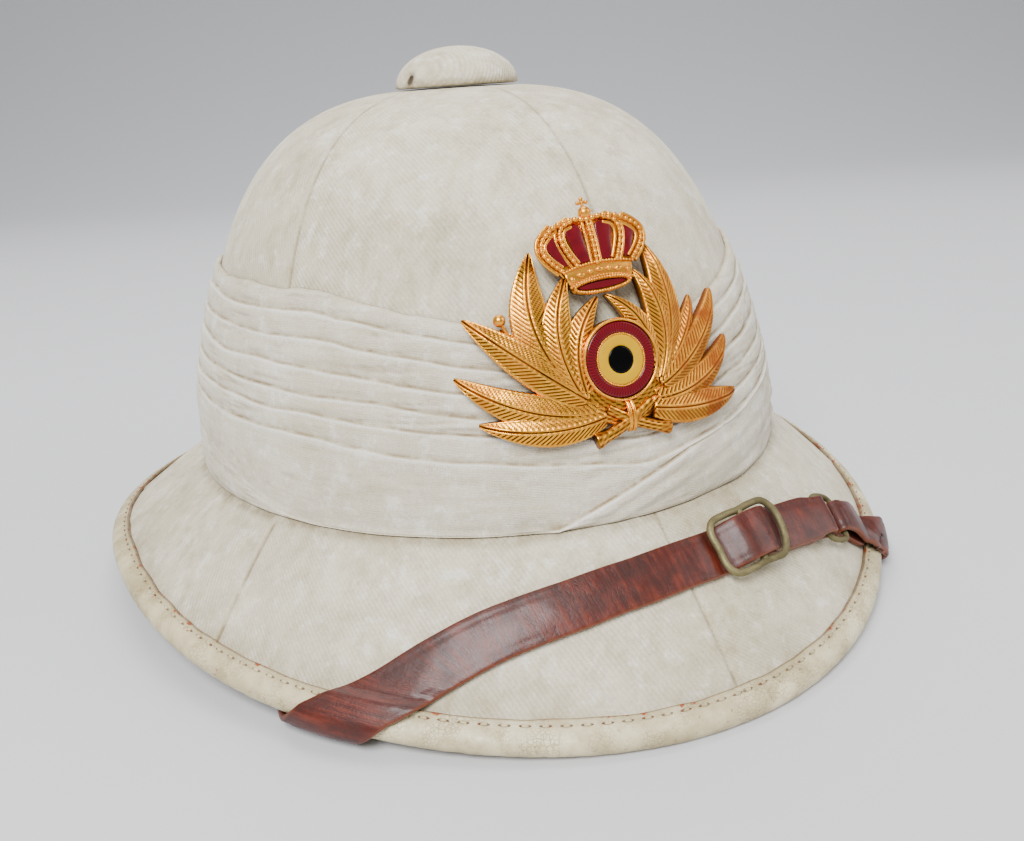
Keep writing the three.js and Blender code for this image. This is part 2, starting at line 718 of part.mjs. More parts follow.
// The badge's gilt metal in one piece: leaves, stems, tie, berry, roundel seat and crown
function badge() {
  const band = new THREE.BoxGeometry(TIE.width, TIE.height, 1, 1, 2, 1);
  const tie = reshape(band, (p) =>
    onBadge(BADGE.centreX + TIE.x + p.x, TIE.z + p.y, p.z > 0 ? TIE.stand : 0),
  );
  const seat = onBadge(BERRY.x, BERRY.z, BERRY.radius);
  const berry = weld(new THREE.SphereGeometry(BERRY.radius, 8, 6)).translate(seat.x, seat.y, seat.z);
  const twig = new THREE.LineCurve3(seat, onBadge(TWIG.x, TWIG.z, TWIG.stand));
  const leaves = LEAVES.map(leaf);
  const stems = STEMS.map(stem);
  const centre = roundel();
  const wreath = joined([...leaves, ...stems, tie, berry, tube(twig, TWIG.radius, 1, WIRE_SIDES)]);
  const solid = wreath.subtract(centre.hollow).add(centre.solid).add(badgeCrown());
  addPart('badge', outward(toGeometry(solid)), 'gilt');
}

// The strap's course lies on a skin over the brim, round its edge, under it and up inside the crown.
// A place on it is an angle, a distance past the top of the edge, and a lift above the skin.
function skinSection(phi) {
  const section = brimSection(phi);
  const r = BINDING.radius;
  const nose = nosePoint(section, r, 0);
  const corner = r - STRAP.lipSeat;
  const lip = new THREE.Vector2(innerRadius(phi, BASE_Z) + corner, section.foot.y - BRIM.wall + corner);
  const way = lip.clone().sub(nose);
  const span = way.length();
  way.normalize();
  const under = new THREE.Vector2(-way.y, way.x);
  const topTurn = Math.atan2(section.up.y, section.up.x);
  let underTurn = Math.atan2(under.y, under.x);
  if (underTurn > topTurn) underTurn -= 2 * Math.PI;
  const wallTurn = -Math.PI;
  return { section, nose, lip, way, span, under, topTurn, underTurn, wallTurn, r };
}

function onSkin(phi, past, lift) {
  const s = skinSection(phi);
  const noseArc = (s.topTurn - s.underTurn) * s.r;
  const lipArc = (s.underTurn - s.wallTurn) * s.r;
  const round = (centre, turn) =>
    new THREE.Vector2(Math.cos(turn), Math.sin(turn)).multiplyScalar(s.r + lift).add(centre);
  let p;
  if (past < 0) {
    const along = 1 - (s.r - past) / s.section.length;
    const bound = smooth(past + BINDING.width, STRAP.bindingFrom, STRAP.bindingFull);
    p = overBrim(s.section, along, lift + bound * (s.r - BRIM.wall / 2));
  } else if (past < noseArc) {
    p = round(s.nose, s.topTurn - past / s.r);
  } else if (past < noseArc + s.span) {
    p = s.nose.clone().addScaledVector(s.way, past - noseArc).addScaledVector(s.under, s.r + lift);
  } else if (past < noseArc + s.span + lipArc) {
    p = round(s.lip, s.underTurn - (past - noseArc - s.span) / s.r);
  } else {
    p = new THREE.Vector2(s.lip.x - s.r - lift, s.lip.y + past - noseArc - s.span - lipArc);
  }
  return fromAxis(phi, p.x, p.y);
}

function skinLength(phi) {
  const s = skinSection(phi);
  return (s.topTurn - s.wallTurn) * s.r + s.span;
}

// Distance of a place of the skin from the hat's upright axis
function axisDistance(phi, past) {
  const p = onSkin(phi, past, 0);
  return Math.hypot(p.x, p.y - CENTRE_Y);
}

// The middle line from one fixing to the other, as angle and distance past the edge
function strapCourse() {
  const knots = STRAP_LINE.map((row) => {
    const phi = rad(row.degrees);
    const section = brimSection(phi);
    return new THREE.Vector3(phi, BINDING.radius - (1 - row.along) * section.length, 0);
  });
  const over = new THREE.CatmullRomCurve3(knots).getPoints(STRAP.courseSteps);
  const slope = Math.tan(rad(STRAP.underAngle));
  const tail = (start, sign) => {
    const list = [];
    let phi = start.x;
    let past = start.y;
    while (past < skinLength(phi) + STRAP.tabRise) {
      phi += sign / slope / axisDistance(phi, past);
      past += 1;
      list.push(new THREE.Vector3(phi, past, 0));
    }
    return list;
  };
  const begin = tail(over[0], 1).reverse();
  const end = tail(over[over.length - 1], -1);
  return [...begin, ...over, ...end];
}

const course = strapCourse();
const courseSteps = [0];
for (let i = 1; i < course.length; i += 1) {
  const here = onSkin(course[i].x, course[i].y, 0);
  const last = onSkin(course[i - 1].x, course[i - 1].y, 0);
  courseSteps.push(courseSteps[i - 1] + here.distanceTo(last));
}
const COURSE_LENGTH = courseSteps[courseSteps.length - 1];

function courseAt(run) {
  const clamped = THREE.MathUtils.clamp(run, 0, COURSE_LENGTH);
  let i = 1;
  while (i < courseSteps.length - 1 && courseSteps[i] < clamped) i += 1;
  const share = (run - courseSteps[i - 1]) / (courseSteps[i] - courseSteps[i - 1]);
  return course[i - 1].clone().lerp(course[i], share);
}

// A place of the strap: run along its course, side across it, lift above the skin
function onStrap(run, side, lift) {
  const place = courseAt(run);
  const next = courseAt(run + 1);
  const last = courseAt(run - 1);
  const radius = axisDistance(place.x, place.y);
  const way = new THREE.Vector2((last.x - next.x) * radius, next.y - last.y).normalize();
  const acrossTurn = way.y * side;
  const acrossPast = way.x * side;
  return onSkin(place.x + acrossTurn / radius, place.y + acrossPast, lift);
}

// How far the cross lines lean so that they run with the brim's edge where the strap bends over it
function leanAt(run) {
  const place = courseAt(run);
  const far = smooth(place.y, STRAP.leanFrom, STRAP.leanFull);
  const sign = run < COURSE_LENGTH / 2 ? 1 : -1;
  return (sign * far) / Math.tan(rad(STRAP.underAngle));
}

// Share of the strap's width that is left where it is drawn together at the ring
function pinchAt(run) {
  const away = Math.abs(run - RING_RUN - RING.halfLength);
  return 1 - STRAP.pinch * (1 - smooth(away, RING.halfLength + STRAP.thick, STRAP.pinchReach));
}

// A strap from stations of run, lift and pitch
function ribbon(stations, width) {
  const box = new THREE.BoxGeometry(1, 1, stations.length - 1, 2, 1, stations.length - 1);
  return reshape(box, (p) => {
    const station = stations[Math.round(p.z + (stations.length - 1) / 2)];
    const side = p.x * width * pinchAt(station.run);
    const thick = p.y * STRAP.thick;
    const run = station.run - Math.sin(station.pitch) * thick;
    const lift = station.lift + Math.cos(station.pitch) * thick;
    const lean = station.lean ? leanAt(run) * side : 0;
    return onStrap(run + lean, side, lift);
  });
}

// Whether the course bends here: over the brim's edge or over the crown's lower lip
function bendsAt(run) {
  const place = courseAt(run);
  const s = skinSection(place.x);
  const noseEnd = (s.topTurn - s.underTurn) * s.r;
  const lipStart = noseEnd + s.span;
  const lipEnd = lipStart + (s.underTurn - s.wallTurn) * s.r;
  const inNose = place.y > -2 * STRAP.shortStep && place.y < noseEnd + STRAP.shortStep;
  return inNose || (place.y > lipStart - STRAP.shortStep && place.y < lipEnd + STRAP.shortStep);
}

// Stations of a strap that lies flat on the skin, closer together where it bends
function level(from, to, lift) {
  const list = [];
  let run = from;
  while (run < to - STRAP.shortStep / 2) {
    list.push({ run, lift, pitch: 0, lean: true });
    run += bendsAt(run + STRAP.shortStep) ? STRAP.shortStep : STRAP.longStep;
  }
  list.push({ run: to, lift, pitch: 0, lean: true });
  return list;
}

// Half turn of a folded strap round a ring
function hairpin(run, high, low, forward) {
  const centre = (high + low) / 2;
  const radius = (high - low) / 2;
  return [45, 90, 135].map((angle) => ({
    run: run + forward * radius * Math.sin(rad(angle)),
    lift: centre + radius * Math.cos(rad(angle)),
    pitch: -forward * rad(angle),
  }));
}

const REST_LIFT = STRAP.clear + STRAP.thick / 2;
const WIRE_CLEAR = STRAP.thick / 2 + STRAP.clear;

// Run of the strap's course at an angle round the hat
function runAtDegrees(degrees) {
  const away = (run) => Math.abs(courseAt(run).x - rad(degrees));
  let best = 0;
  for (let run = 0; run < COURSE_LENGTH; run += 0.5) {
    if (away(run) < away(best)) best = run;
  }
  return best;
}

const BUCKLE_RUN = runAtDegrees(BUCKLE.degrees);
const RING_RUN = BUCKLE_RUN + RING.beyondBuckle - RING.halfLength;

// Gives each station the pitch of the line through its neighbours
function bendStations(rows) {
  return rows.map((row, i) => {
    const last = rows[Math.max(0, i - 1)];
    const next = rows[Math.min(rows.length - 1, i + 1)];
    return { ...row, pitch: Math.atan2(next.lift - last.lift, next.run - last.run) };
  });
}

// The line of buckle bars stands on a slope over the strap
function buckleStand(offset) {
  return BUCKLE.stand + Math.tan(rad(BUCKLE.tilt)) * offset;
}

// The strap's underside at a run: a place and the way out from the hat
function outAt(run) {
  const here = onStrap(run, 0, 0);
  const normal = onStrap(run, 0, 1).sub(here).normalize();
  return { here, normal };
}

function pin(run, radius, from, to) {
  const { here, normal } = outAt(run);
  const cylinder = new THREE.CylinderGeometry(radius, radius, to - from, STUD.sides);
  cylinder.translate(0, (to + from) / 2, 0);
  const turn = new THREE.Quaternion().setFromUnitVectors(new THREE.Vector3(0, 1, 0), normal);
  const geometry = weld(cylinder);
  geometry.applyQuaternion(turn).translate(here.x, here.y, here.z);
  return geometry;
}

// How far the crown's inner face lies behind the strap's underside, less the gap
function wallBehind(run) {
  const { here, normal } = outAt(run);
  let depth = 0;
  while (depth > -2 * BRIM.wall) {
    const p = here.clone().addScaledVector(normal, depth);
    const phi = Math.atan2(-p.x, CENTRE_Y - p.y);
    const room = innerRadius(phi, p.z) - Math.hypot(p.x, p.y - CENTRE_Y);
    if (room < GAP + STUD.facetAllowance) break;
    depth -= 0.05;
  }
  return depth;
}

const RING_HIGH = RING.stand + RING.wire + WIRE_CLEAR;
const RING_LOW = RING.stand - RING.wire - WIRE_CLEAR + RING.squeeze;

// Long strap: from the fixing under the buckle's first bar, over the middle bar, under the round end,
// round the ring and back beneath itself
function chinStrap() {
  const leftBar = BUCKLE_RUN - BUCKLE.leftReach;
  const rightBar = BUCKLE_RUN + BUCKLE.rightReach;
  const under = REST_LIFT;
  const upper = under + STRAP.thick + GAP;
  const overWire = BUCKLE.wire + WIRE_CLEAR;
  const bent = bendStations([
    { run: leftBar - 6, lift: under },
    { run: leftBar + 2, lift: under },
    { run: leftBar + 6, lift: under + 2.4 },
    { run: BUCKLE_RUN - 3, lift: buckleStand(-3) + overWire - 0.2 },
    { run: BUCKLE_RUN + 1.5, lift: buckleStand(1.5) + overWire },
    { run: BUCKLE_RUN + 6, lift: buckleStand(0) + 0.9 },
    { run: rightBar - 2, lift: upper },
    { run: rightBar + 3, lift: upper },
    { run: rightBar + 9, lift: upper + 0.2 },
    { run: RING_RUN - 8, lift: upper + 0.9 },
  ]);
  const back = [RING_RUN - 6, RING_RUN - 14, rightBar - 3, rightBar - 9];
  const stations = [
    ...level(0, leftBar - 14, under),
    ...bent,
    { run: RING_RUN, lift: RING_HIGH, pitch: 0 },
    ...hairpin(RING_RUN, RING_HIGH, RING_LOW, 1),
    { run: RING_RUN, lift: RING_LOW, pitch: -Math.PI },
    ...back.map((run) => ({ run, lift: under, pitch: -Math.PI })),
  ];
  addStrap('chin_strap', stations, STUD.inset);
  addStud('stud_right', STUD.inset);
}

// A strap with its stud's hole
function addStrap(name, stations, holeRun) {
  const hole = toSolid(pin(holeRun, STUD.shank + GAP, HOLE.from, HOLE.to));
  addPart(name, toGeometry(toSolid(ribbon(stations, STRAP.width)).subtract(hole)), 'strap');
}

// A stud: a shank through the strap to the crown's wall, and a flat head over the leather
function addStud(name, run) {
  const top = REST_LIFT + STRAP.thick / 2 + STUD.seat;
  const shank = pin(run, STUD.shank, wallBehind(run), top + STUD.headThick / 2);
  const head = pin(run, STUD.head, top, top + STUD.headThick);
  addPart(name, toGeometry(joined([shank, head])), 'nickel');
}

// Short strap: from its folded end round the ring to the other fixing
function shortStrap() {
  const start = RING_RUN + 2 * RING.halfLength;
  const upper = REST_LIFT + STRAP.thick;
  const stations = [
    { run: start + 13, lift: RING_LOW - 0.05, pitch: Math.PI },
    { run: start + 6, lift: RING_LOW, pitch: Math.PI },
    { run: start, lift: RING_LOW, pitch: Math.PI },
    ...hairpin(start, RING_HIGH, RING_LOW, -1).reverse(),
    { run: start, lift: RING_HIGH, pitch: 0 },
    { run: start + 6, lift: RING_HIGH - 0.3, pitch: -0.06 },
    { run: start + 13, lift: upper + 0.6, pitch: -0.2 },
    ...level(start + 21, COURSE_LENGTH, REST_LIFT),
  ];
  addStrap('strap_short', stations, COURSE_LENGTH - STUD.inset);
  addStud('stud_left', COURSE_LENGTH - STUD.inset);
}

// A closed loop of wire; up is the way out of its plane
function wireLoop(points, radius, steps, up) {
  const curve = new THREE.CatmullRomCurve3(points, true, 'centripetal');
  const tubeRadius = 0.5;
  const torus = new THREE.TorusGeometry(1, tubeRadius, WIRE_SIDES, steps);
  const grow = radius / tubeRadius;
  return reshape(torus, (p) => {
    const turn = Math.round((Math.atan2(p.y, p.x) / (2 * Math.PI)) * steps);
    const share = THREE.MathUtils.euclideanModulo(turn, steps) / steps;
    const out = curve.getTangent(share).cross(up).normalize();
    const middle = curve.getPoint(share);
    return middle.addScaledVector(out, (Math.hypot(p.x, p.y) - 1) * grow).addScaledVector(up, p.z * grow);
  });
}

// A loop from its half on one side of the strap, which is the same on both
function bothSides(half) {
  const other = half.slice(1, -1).reverse();
  return [...half, ...other.map((row) => ({ run: row.run, side: -row.side }))];
}

// Buckle: a slide, one bent frame with a square end and a round end, and a middle bar
function buckle() {
  const { leftReach, rightReach, leftHalf, rightHalf, waistHalf, wire, steps } = BUCKLE;
  const half = [
    { run: -leftReach, side: 0 },
    { run: -leftReach, side: leftHalf * 0.6 },
    { run: -leftReach + 2, side: leftHalf * 0.93 },
    { run: -leftReach * 0.4, side: leftHalf },
    { run: 0, side: waistHalf },
    { run: rightReach * 0.35, side: rightHalf },
    { run: rightReach * 0.72, side: rightHalf * 0.96 },
    { run: rightReach * 0.94, side: rightHalf * 0.58 },
    { run: rightReach, side: 0 },
  ];
  const at = ({ run, side }) => onStrap(BUCKLE_RUN + run, side, buckleStand(run));
  const barEnds = [-waistHalf, waistHalf].map((side) => at({ run: 0, side }));
  const bar = tube(new THREE.LineCurve3(...barEnds), wire, 1, ROD_SIDES);
  const frame = wireLoop(bothSides(half).map(at), wire, steps, outAt(BUCKLE_RUN).normal);
  addPart('buckle', toGeometry(joined([frame, bar])), 'nickel');
}

// Ring: an oblong link between the strap's two lengths
function strapRing() {
  const { halfLength, halfWidth, sideBow, cornerCut, stand, wire, steps } = RING;
  const half = [
    { run: -halfLength, side: 0 },
    { run: -halfLength, side: halfWidth },
    { run: -halfLength + cornerCut, side: halfWidth + sideBow },
    { run: halfLength - cornerCut, side: halfWidth + sideBow },
    { run: halfLength, side: halfWidth },
    { run: halfLength, side: 0 },
  ];
  const middle = RING_RUN + halfLength;
  const points = bothSides(half).map(({ run, side }) => onStrap(middle + run, side, stand));
  addPart('strap_ring', wireLoop(points, wire, steps, outAt(middle).normal), 'nickel');
}

addPart('crown', crownDome(), 'cloth');
addPart('brim', brimRing(), 'cloth');
addPart('brim_binding', bindingRing(), 'binding');
addPart('puggaree', puggareeBand(), 'puggaree');
addPart('ventilator_button', buttonCap(), 'cloth');
badge();
chinStrap();
shortStrap();
buckle();
strapRing();

export default hat;
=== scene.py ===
"""Sun helmet of pith with a cloth cover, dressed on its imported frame.

The helmet has a domed crown sewn from gores, a sloping brim bound in whitened leather, a pleated
puggaree, a ventilator button, a gilt wreath badge and a leather chin strap worn over the brim.
The script's own lengths are millimetres. The front of the helmet faces -Y.
"""

import logging
import math
from dataclasses import dataclass, field
from enum import Enum
from functools import lru_cache
from typing import Callable, Optional, Sequence, Union

import bmesh
import bpy
from mathutils import Matrix, Quaternion, Vector, noise


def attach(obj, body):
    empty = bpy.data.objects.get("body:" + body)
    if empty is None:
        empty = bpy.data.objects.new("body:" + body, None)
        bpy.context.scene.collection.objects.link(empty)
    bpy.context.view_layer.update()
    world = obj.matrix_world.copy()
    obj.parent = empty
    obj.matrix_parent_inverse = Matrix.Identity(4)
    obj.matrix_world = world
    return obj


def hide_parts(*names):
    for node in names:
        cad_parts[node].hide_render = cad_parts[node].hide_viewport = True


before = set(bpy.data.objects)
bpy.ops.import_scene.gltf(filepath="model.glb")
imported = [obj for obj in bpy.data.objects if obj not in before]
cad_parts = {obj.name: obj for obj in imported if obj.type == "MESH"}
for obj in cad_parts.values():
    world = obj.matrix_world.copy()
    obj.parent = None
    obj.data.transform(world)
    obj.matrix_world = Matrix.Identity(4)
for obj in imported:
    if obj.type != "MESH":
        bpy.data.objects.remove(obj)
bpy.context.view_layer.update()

log = logging.getLogger("helmet")

MM = 0.001
BODY = "root"

TURN = 2 * math.pi

Colour = tuple[float, float, float, float]
Pair = tuple[float, float]
Triple = tuple[float, float, float]


def tint(code: int) -> Colour:
    """The linear colour of a hexadecimal screen colour."""
    parts = [(code >> shift & 255) / 255 for shift in (16, 8, 0)]
    linear = [c / 12.92 if c <= 0.04045 else ((c + 0.055) / 1.055) ** 2.4 for c in parts]
    return (linear[0], linear[1], linear[2], 1.0)


def mix(low: float, high: float, share: float) -> float:
    """The value at a share of the way from low to high."""
    return low + (high - low) * share


def clamp(value: float, low: float = 0.0, high: float = 1.0) -> float:
    """The value, kept between low and high."""
    return min(high, max(low, value))


def smooth(value: float, low: float, high: float) -> float:
    """A soft step from 0 at low to 1 at high."""
    share = clamp((value - low) / (high - low))
    return share * share * (3 - 2 * share)


def bell(distance: float, width: float) -> float:
    """A round hump of height 1 at distance 0, which falls away over a width."""
    return math.exp(-((distance / width) ** 2))


def ripple(x: float, y: float, z: float = 0.0) -> float:
    """Smooth noise between about -1 and 1, with features about 1 unit across."""
    return noise.noise(Vector((x, y, z)))


def signed_degrees(phi: float) -> float:
    """An angle in radians as degrees between -180 and 180."""
    return (math.degrees(phi) + 180) % 360 - 180


# Form of the helmet


@dataclass(frozen=True)
class BrimSection:
    """The brim's upper line at one angle, as pairs of radius and height.

    Attributes:
        foot: Where it leaves the crown.
        edge: Where it ends.
    """

    foot: Vector
    edge: Vector

    @property
    def length(self) -> float:
        """Length of the slope."""
        return (self.edge - self.foot).length

    @property
    def down(self) -> Vector:
        """Unit way down the slope."""
        return (self.edge - self.foot).normalized()

    @property
    def up(self) -> Vector:
        """Unit way out of the slope."""
        down = self.down
        return Vector((-down.y, down.x))


@dataclass(frozen=True)
class HelmetForm:
    """The helmet's driving sizes and the surfaces that they give.

    An angle phi is 0 at the front and grows towards the wearer's right.
    """

    gap: float = 0.3
    base_z: float = 39.4
    seams: int = 6
    half_length: float = 114.5
    half_width: float = 98.0
    height: float = 124.6
    side_power: float = 3.11
    top_power: float = 2.07
    wall: float = 3.0
    foot_tilt: float = 5.75
    foot_wave: float = 0.8
    front: float = 49.3
    back: float = 60.2
    side: float = 42.0
    shoulder_fill: float = 0.008
    nose_fill: float = 0.017
    drop_front: float = 37.9
    drop_back: float = 36.9
    drop_sides: float = 24.8
    drop_power: float = 1.31
    crowning: float = 0.95
    brim_stand: float = 5.9
    binding_width: float = 9.0
    binding_leather: float = 1.7

    @property
    def centre_y(self) -> float:
        """Place of the crown's upright axis."""
        return -(self.back - self.front) / 2

    @property
    def nose(self) -> float:
        """Radius of the bound edge."""
        return self.wall / 2 + self.gap + self.binding_leather

    def from_axis(self, phi: float, radius: float, z: float) -> Vector:
        """A point from its angle, its distance from the axis and its height."""
        return Vector((-radius * math.sin(phi), self.centre_y - radius * math.cos(phi), z))

    def plan_radius(self, phi: float, half_length: float, half_width: float) -> float:
        """Radius of an oval at an angle."""
        return 1 / math.hypot(math.cos(phi) / half_length, math.sin(phi) / half_width)

    def crown_taper(self, rise: float, height: Optional[float] = None) -> float:
        """How much of the crown's plan is left at a height above its base."""
        share = clamp(rise / (height or self.height))
        return (1 - share**self.top_power) ** (1 / self.side_power)

    def crown_radius(self, phi: float, z: float) -> float:
        """Radius of the crown's outer face."""
        return self.plan_radius(phi, self.half_length, self.half_width) * self.crown_taper(
            z - self.base_z
        )

    def inner_radius(self, phi: float, z: float) -> float:
        """Radius of the crown's inner face."""
        plan = self.plan_radius(phi, self.half_length - self.wall, self.half_width - self.wall)
        return plan * self.crown_taper(z - self.base_z, self.height - self.wall)

    def foot_height(self, phi: float) -> float:
        """Height of the line where the brim leaves the crown."""
        tilt = self.foot_tilt * math.cos(phi)
        return self.base_z + tilt - self.foot_wave * math.cos(2 * phi)

    @lru_cache(maxsize=4096)
    def brim_section(self, phi: float) -> BrimSection:
        """The brim's upper line at an angle."""
        ahead = math.cos(phi) > 0
        reach = self.front if ahead else self.back
        drop = self.drop_front if ahead else self.drop_back
        plan = self.plan_radius(phi, self.half_length + reach, self.half_width + self.side)
        shoulder = self.shoulder_fill * (math.cos(6 * phi) - math.cos(2 * phi)) / 2
        nose = self.nose_fill * (math.cos(3 * phi) - math.cos(phi)) / 2
        sink = mix(self.drop_sides, drop, abs(math.cos(phi)) ** self.drop_power)
        stand = self.brim_stand
        plan_foot = self.plan_radius(phi, self.half_length + stand, self.half_width + stand)
        return BrimSection(
            Vector((plan_foot, self.foot_height(phi))),
            Vector((plan * (1 + shoulder + nose), self.base_z - sink)),
        )

    def over_brim(self, section: BrimSection, along: float, proud: float) -> Vector:
        """A point above the brim's upper face.

        Args:
            section: The brim's line at one angle.
            along: Share of the way from the foot to the edge.
            proud: Height above the face.

        Returns:
            The point as radius and height.
        """
        point = section.foot.lerp(section.edge, along)
        share = min(1.0, along / (1 - self.binding_width / section.length))
        point.y += self.crowning * 4 * share * (1 - share)
        return point + section.up * proud

    def nose_point(self, section: BrimSection, distance: float, offset: float) -> Vector:
        """A point by its distance in from the edge and its offset from the brim's middle."""
        middle = section.edge - section.up * (self.wall / 2)
        return middle - section.down * distance + section.up * offset

    def seam_distance(self, phi: float, radius: float) -> float:
        """Distance round the helmet to the nearest gore seam, positive on its left side."""
        step = TURN / self.seams
        away = (phi + step / 2) % step - step / 2
        return away * radius


# Meshes


def gathered_angles(form: HelmetForm, per_gore: int, gather: float = 0.9) -> list[float]:
    """Angles round the helmet that lie closer together near each seam.

    Args:
        form: The helmet's form.
        per_gore: Count of steps in one gore.
        gather: How much closer the steps are at a seam, from 0 to 1.

    Returns:
        The angles from 0 to a full turn, both included.
    """
    step = TURN / form.seams
    angles = []
    for gore in range(form.seams):
        for k in range(per_gore):
            t = k / per_gore
            angles.append(step * (gore + t - gather * math.sin(TURN * t) / TURN))
    return angles + [TURN]


def even_angles(columns: int) -> list[float]:
    """Angles from 0 to a full turn in even steps."""
    return [TURN * k / columns for k in range(columns + 1)]


@dataclass
class VertexMark:
    """A mark on each vertex of a piece, from 0 to 1, such as dirt, wear, relief, painted shade and
    painted highlight.
    """

    name: str
    value: Callable[[int, int], float]


class MeshPiece:
    """A named mesh in the row frame that rides on the helmet's one body."""

    def __init__(self, name: str) -> None:
        """Starts an empty mesh."""
        self.name = name
        self.bm = bmesh.new()
        self.uv = self.bm.loops.layers.uv.new("weave")
        self.marks: dict[str, bmesh.types.BMLayerItem] = {}

    def mark_layer(self, name: str) -> bmesh.types.BMLayerItem:
        """The vertex layer of a mark, made when it is first asked for."""
        if name not in self.marks:
            self.marks[name] = self.bm.verts.layers.float.new(name)
        return self.marks[name]

    def sheet(
        self,
        columns: int,
        rows: int,
        place: Callable[[int, int], Vector],
        weave: Optional[Callable[[int, int, int], Pair]] = None,
        marks: Sequence[VertexMark] = (),
    ) -> None:
        """Adds a grid of faces and sends each of its points to its place.

        Args:
            columns: Count of steps the first way.
            rows: Count of steps the second way.
            place: The point of a column and a row, in millimetres.
            weave: The cloth's own coordinates of a column and a row, seen from a column of faces.
            marks: Vertex marks, such as dirt, wear, relief, painted shade and painted highlight.
        """
        layers = [self.mark_layer(mark.name) for mark in marks]
        made = bmesh.ops.create_grid(self.bm, x_segments=columns, y_segments=rows, size=0.5)
        step_of: dict[bmesh.types.BMVert, tuple[int, int]] = {}
        for vert in made["verts"]:
            at = (round((vert.co.x + 0.5) * columns), round((vert.co.y + 0.5) * rows))
            step_of[vert] = at
            for layer, mark in zip(layers, marks):
                vert[layer] = mark.value(*at)
        for vert, at in step_of.items():
            vert.co = place(*at) * MM
        faces = {face for vert in made["verts"] for face in vert.link_faces}
        for face in faces:
            face.smooth = True
            if weave is None:
                continue
            column = min(step_of[vert][0] for vert in face.verts)
            for loop in face.loops:
                loop[self.uv].uv = weave(*step_of[loop.vert], column)

    def weld(self, reach: float = 0.002) -> None:
        """Merges vertices that lie within a reach, and turns the faces outwards."""
        bmesh.ops.remove_doubles(self.bm, verts=self.bm.verts, dist=reach * MM)
        bmesh.ops.recalc_face_normals(self.bm, faces=self.bm.faces)

    def close(self) -> None:
        """Fills the open ends of the mesh."""
        edges = [edge for edge in self.bm.edges if edge.is_boundary]
        bmesh.ops.holes_fill(self.bm, edges=edges)

    def finish(self, material: bpy.types.Material, slot: str, *nodes: str) -> None:
        """Welds the mesh, makes the object, gives it its finish and hangs it on the frame.

        Args:
            material: Its finish.
            slot: The record's slot that the finish belongs to. It is not used.
            nodes: The solids that it stands for.
        """
        self.weld()
        mesh = bpy.data.meshes.new(self.name)
        self.bm.to_mesh(mesh)
        self.bm.free()
        piece = bpy.data.objects.new(self.name, mesh)
        bpy.context.scene.collection.objects.link(piece)
        mesh.materials.append(material)
        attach(piece, BODY)
        if nodes:
            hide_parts(*nodes)
        log.info("%s: %d faces", self.name, len(mesh.polygons))


@dataclass
class Section:
    """A closed line of a ring at one angle.

    Attributes:
        points: Pairs of radius and height.
        marks: A mark for each point, of dirt and wear, and on some rings of painted shade and
            painted highlight.
    """

    points: list[Vector] = field(default_factory=list)
    marks: list[float] = field(default_factory=list)

    def add(self, point: Vector, mark: float) -> None:
        """Adds a point with its mark."""
        self.points.append(point)
        self.marks.append(mark)

    def runs(self) -> list[float]:
        """The distance along the line to each point."""
        total = [0.0]
        for here, there in zip(self.points, self.points[1:]):
            total.append(total[-1] + (there - here).length)
        return total


def ring_piece(
    name: str,
    form: HelmetForm,
    angles: Sequence[float],
    section_at: Callable[[float], Section],
) -> MeshPiece:
    """Makes a ring whose section changes round the helmet.

    Args:
        name: The piece's name.
        form: The helmet's form.
        angles: The angles of its columns, from 0 to a full turn.
        section_at: Its section at an angle, with the same count of points all round.

    Returns:
        The piece, not yet finished.
    """
    sections = [section_at(phi % TURN) for phi in angles]
    runs = [section.runs() for section in sections]
    step = TURN / form.seams

    def place(column: int, row: int) -> Vector:
        """The point of a column and row."""
        point = sections[column].points[row]
        return form.from_axis(angles[column], point.x, point.y)

    def weave(column: int, row: int, face_column: int) -> Pair:
        """Millimetres along and up the gore."""
        gore = int(angles[face_column] / step + 1e-6)
        away = angles[column] - (gore + 0.5) * step
        return (away * sections[column].points[row].x, runs[column][row])

    ring = MeshPiece(name)
    soil_and_shade = VertexMark("soil_and_shade", lambda column, row: sections[column].marks[row])
    ring.sheet(len(angles) - 1, len(sections[0].points) - 1, place, weave, [soil_and_shade])
    return ring


# Materials

Number = Union["Value", float]
Socket = bpy.types.NodeSocket

class Value:
    """A number that varies over a surface. Arithmetic on it adds Math nodes."""

    def __init__(self, shade: "Shade", socket: Socket) -> None:
        """Wraps an output socket."""
        self.shade = shade
        self.socket = socket

    def _math(self, operation: str, *others: Number, first: bool = True) -> "Value":
        """Adds a Math node.

        Args:
            operation: Its operation.
            others: Its other operands.
            first: Whether this value is the first operand.

        Returns:
            The node's result.
        """
        operands = [self, *others] if first else [*others, self]
        inputs = {k: op for k, op in enumerate(operands)}
        node = self.shade.node("ShaderNodeMath", {"operation": operation}, inputs)
        return Value(self.shade, node.outputs[0])

    def __add__(self, other: Number) -> "Value":
        """Sum."""
        return self._math("ADD", other)

    def __sub__(self, other: Number) -> "Value":
        """Difference."""
        return self._math("SUBTRACT", other)

    def __rsub__(self, other: Number) -> "Value":
        """Difference from a number."""
        return self._math("SUBTRACT", other, first=False)

    def __mul__(self, other: Number) -> "Value":
        """Product."""
        return self._math("MULTIPLY", other)

    __radd__ = __add__
    __rmul__ = __mul__

    def sine(self) -> "Value":
        """Sine of an angle in radians."""
        return self._math("SINE")

    def least(self, other: Number) -> "Value":
        """The smaller of two values."""
        return self._math("MINIMUM", other)

    def step(self, low: float, high: float) -> "Value":
        """A soft step from 0 at low to 1 at high."""
        settings = {"interpolation_type": "SMOOTHSTEP"}
        inputs = {"Value": self, "From Min": low, "From Max": high}
        node = self.shade.node("ShaderNodeMapRange", settings, inputs)
        return Value(self.shade, node.outputs[0])


Input = Union[Value, float, Sequence[float], Socket]


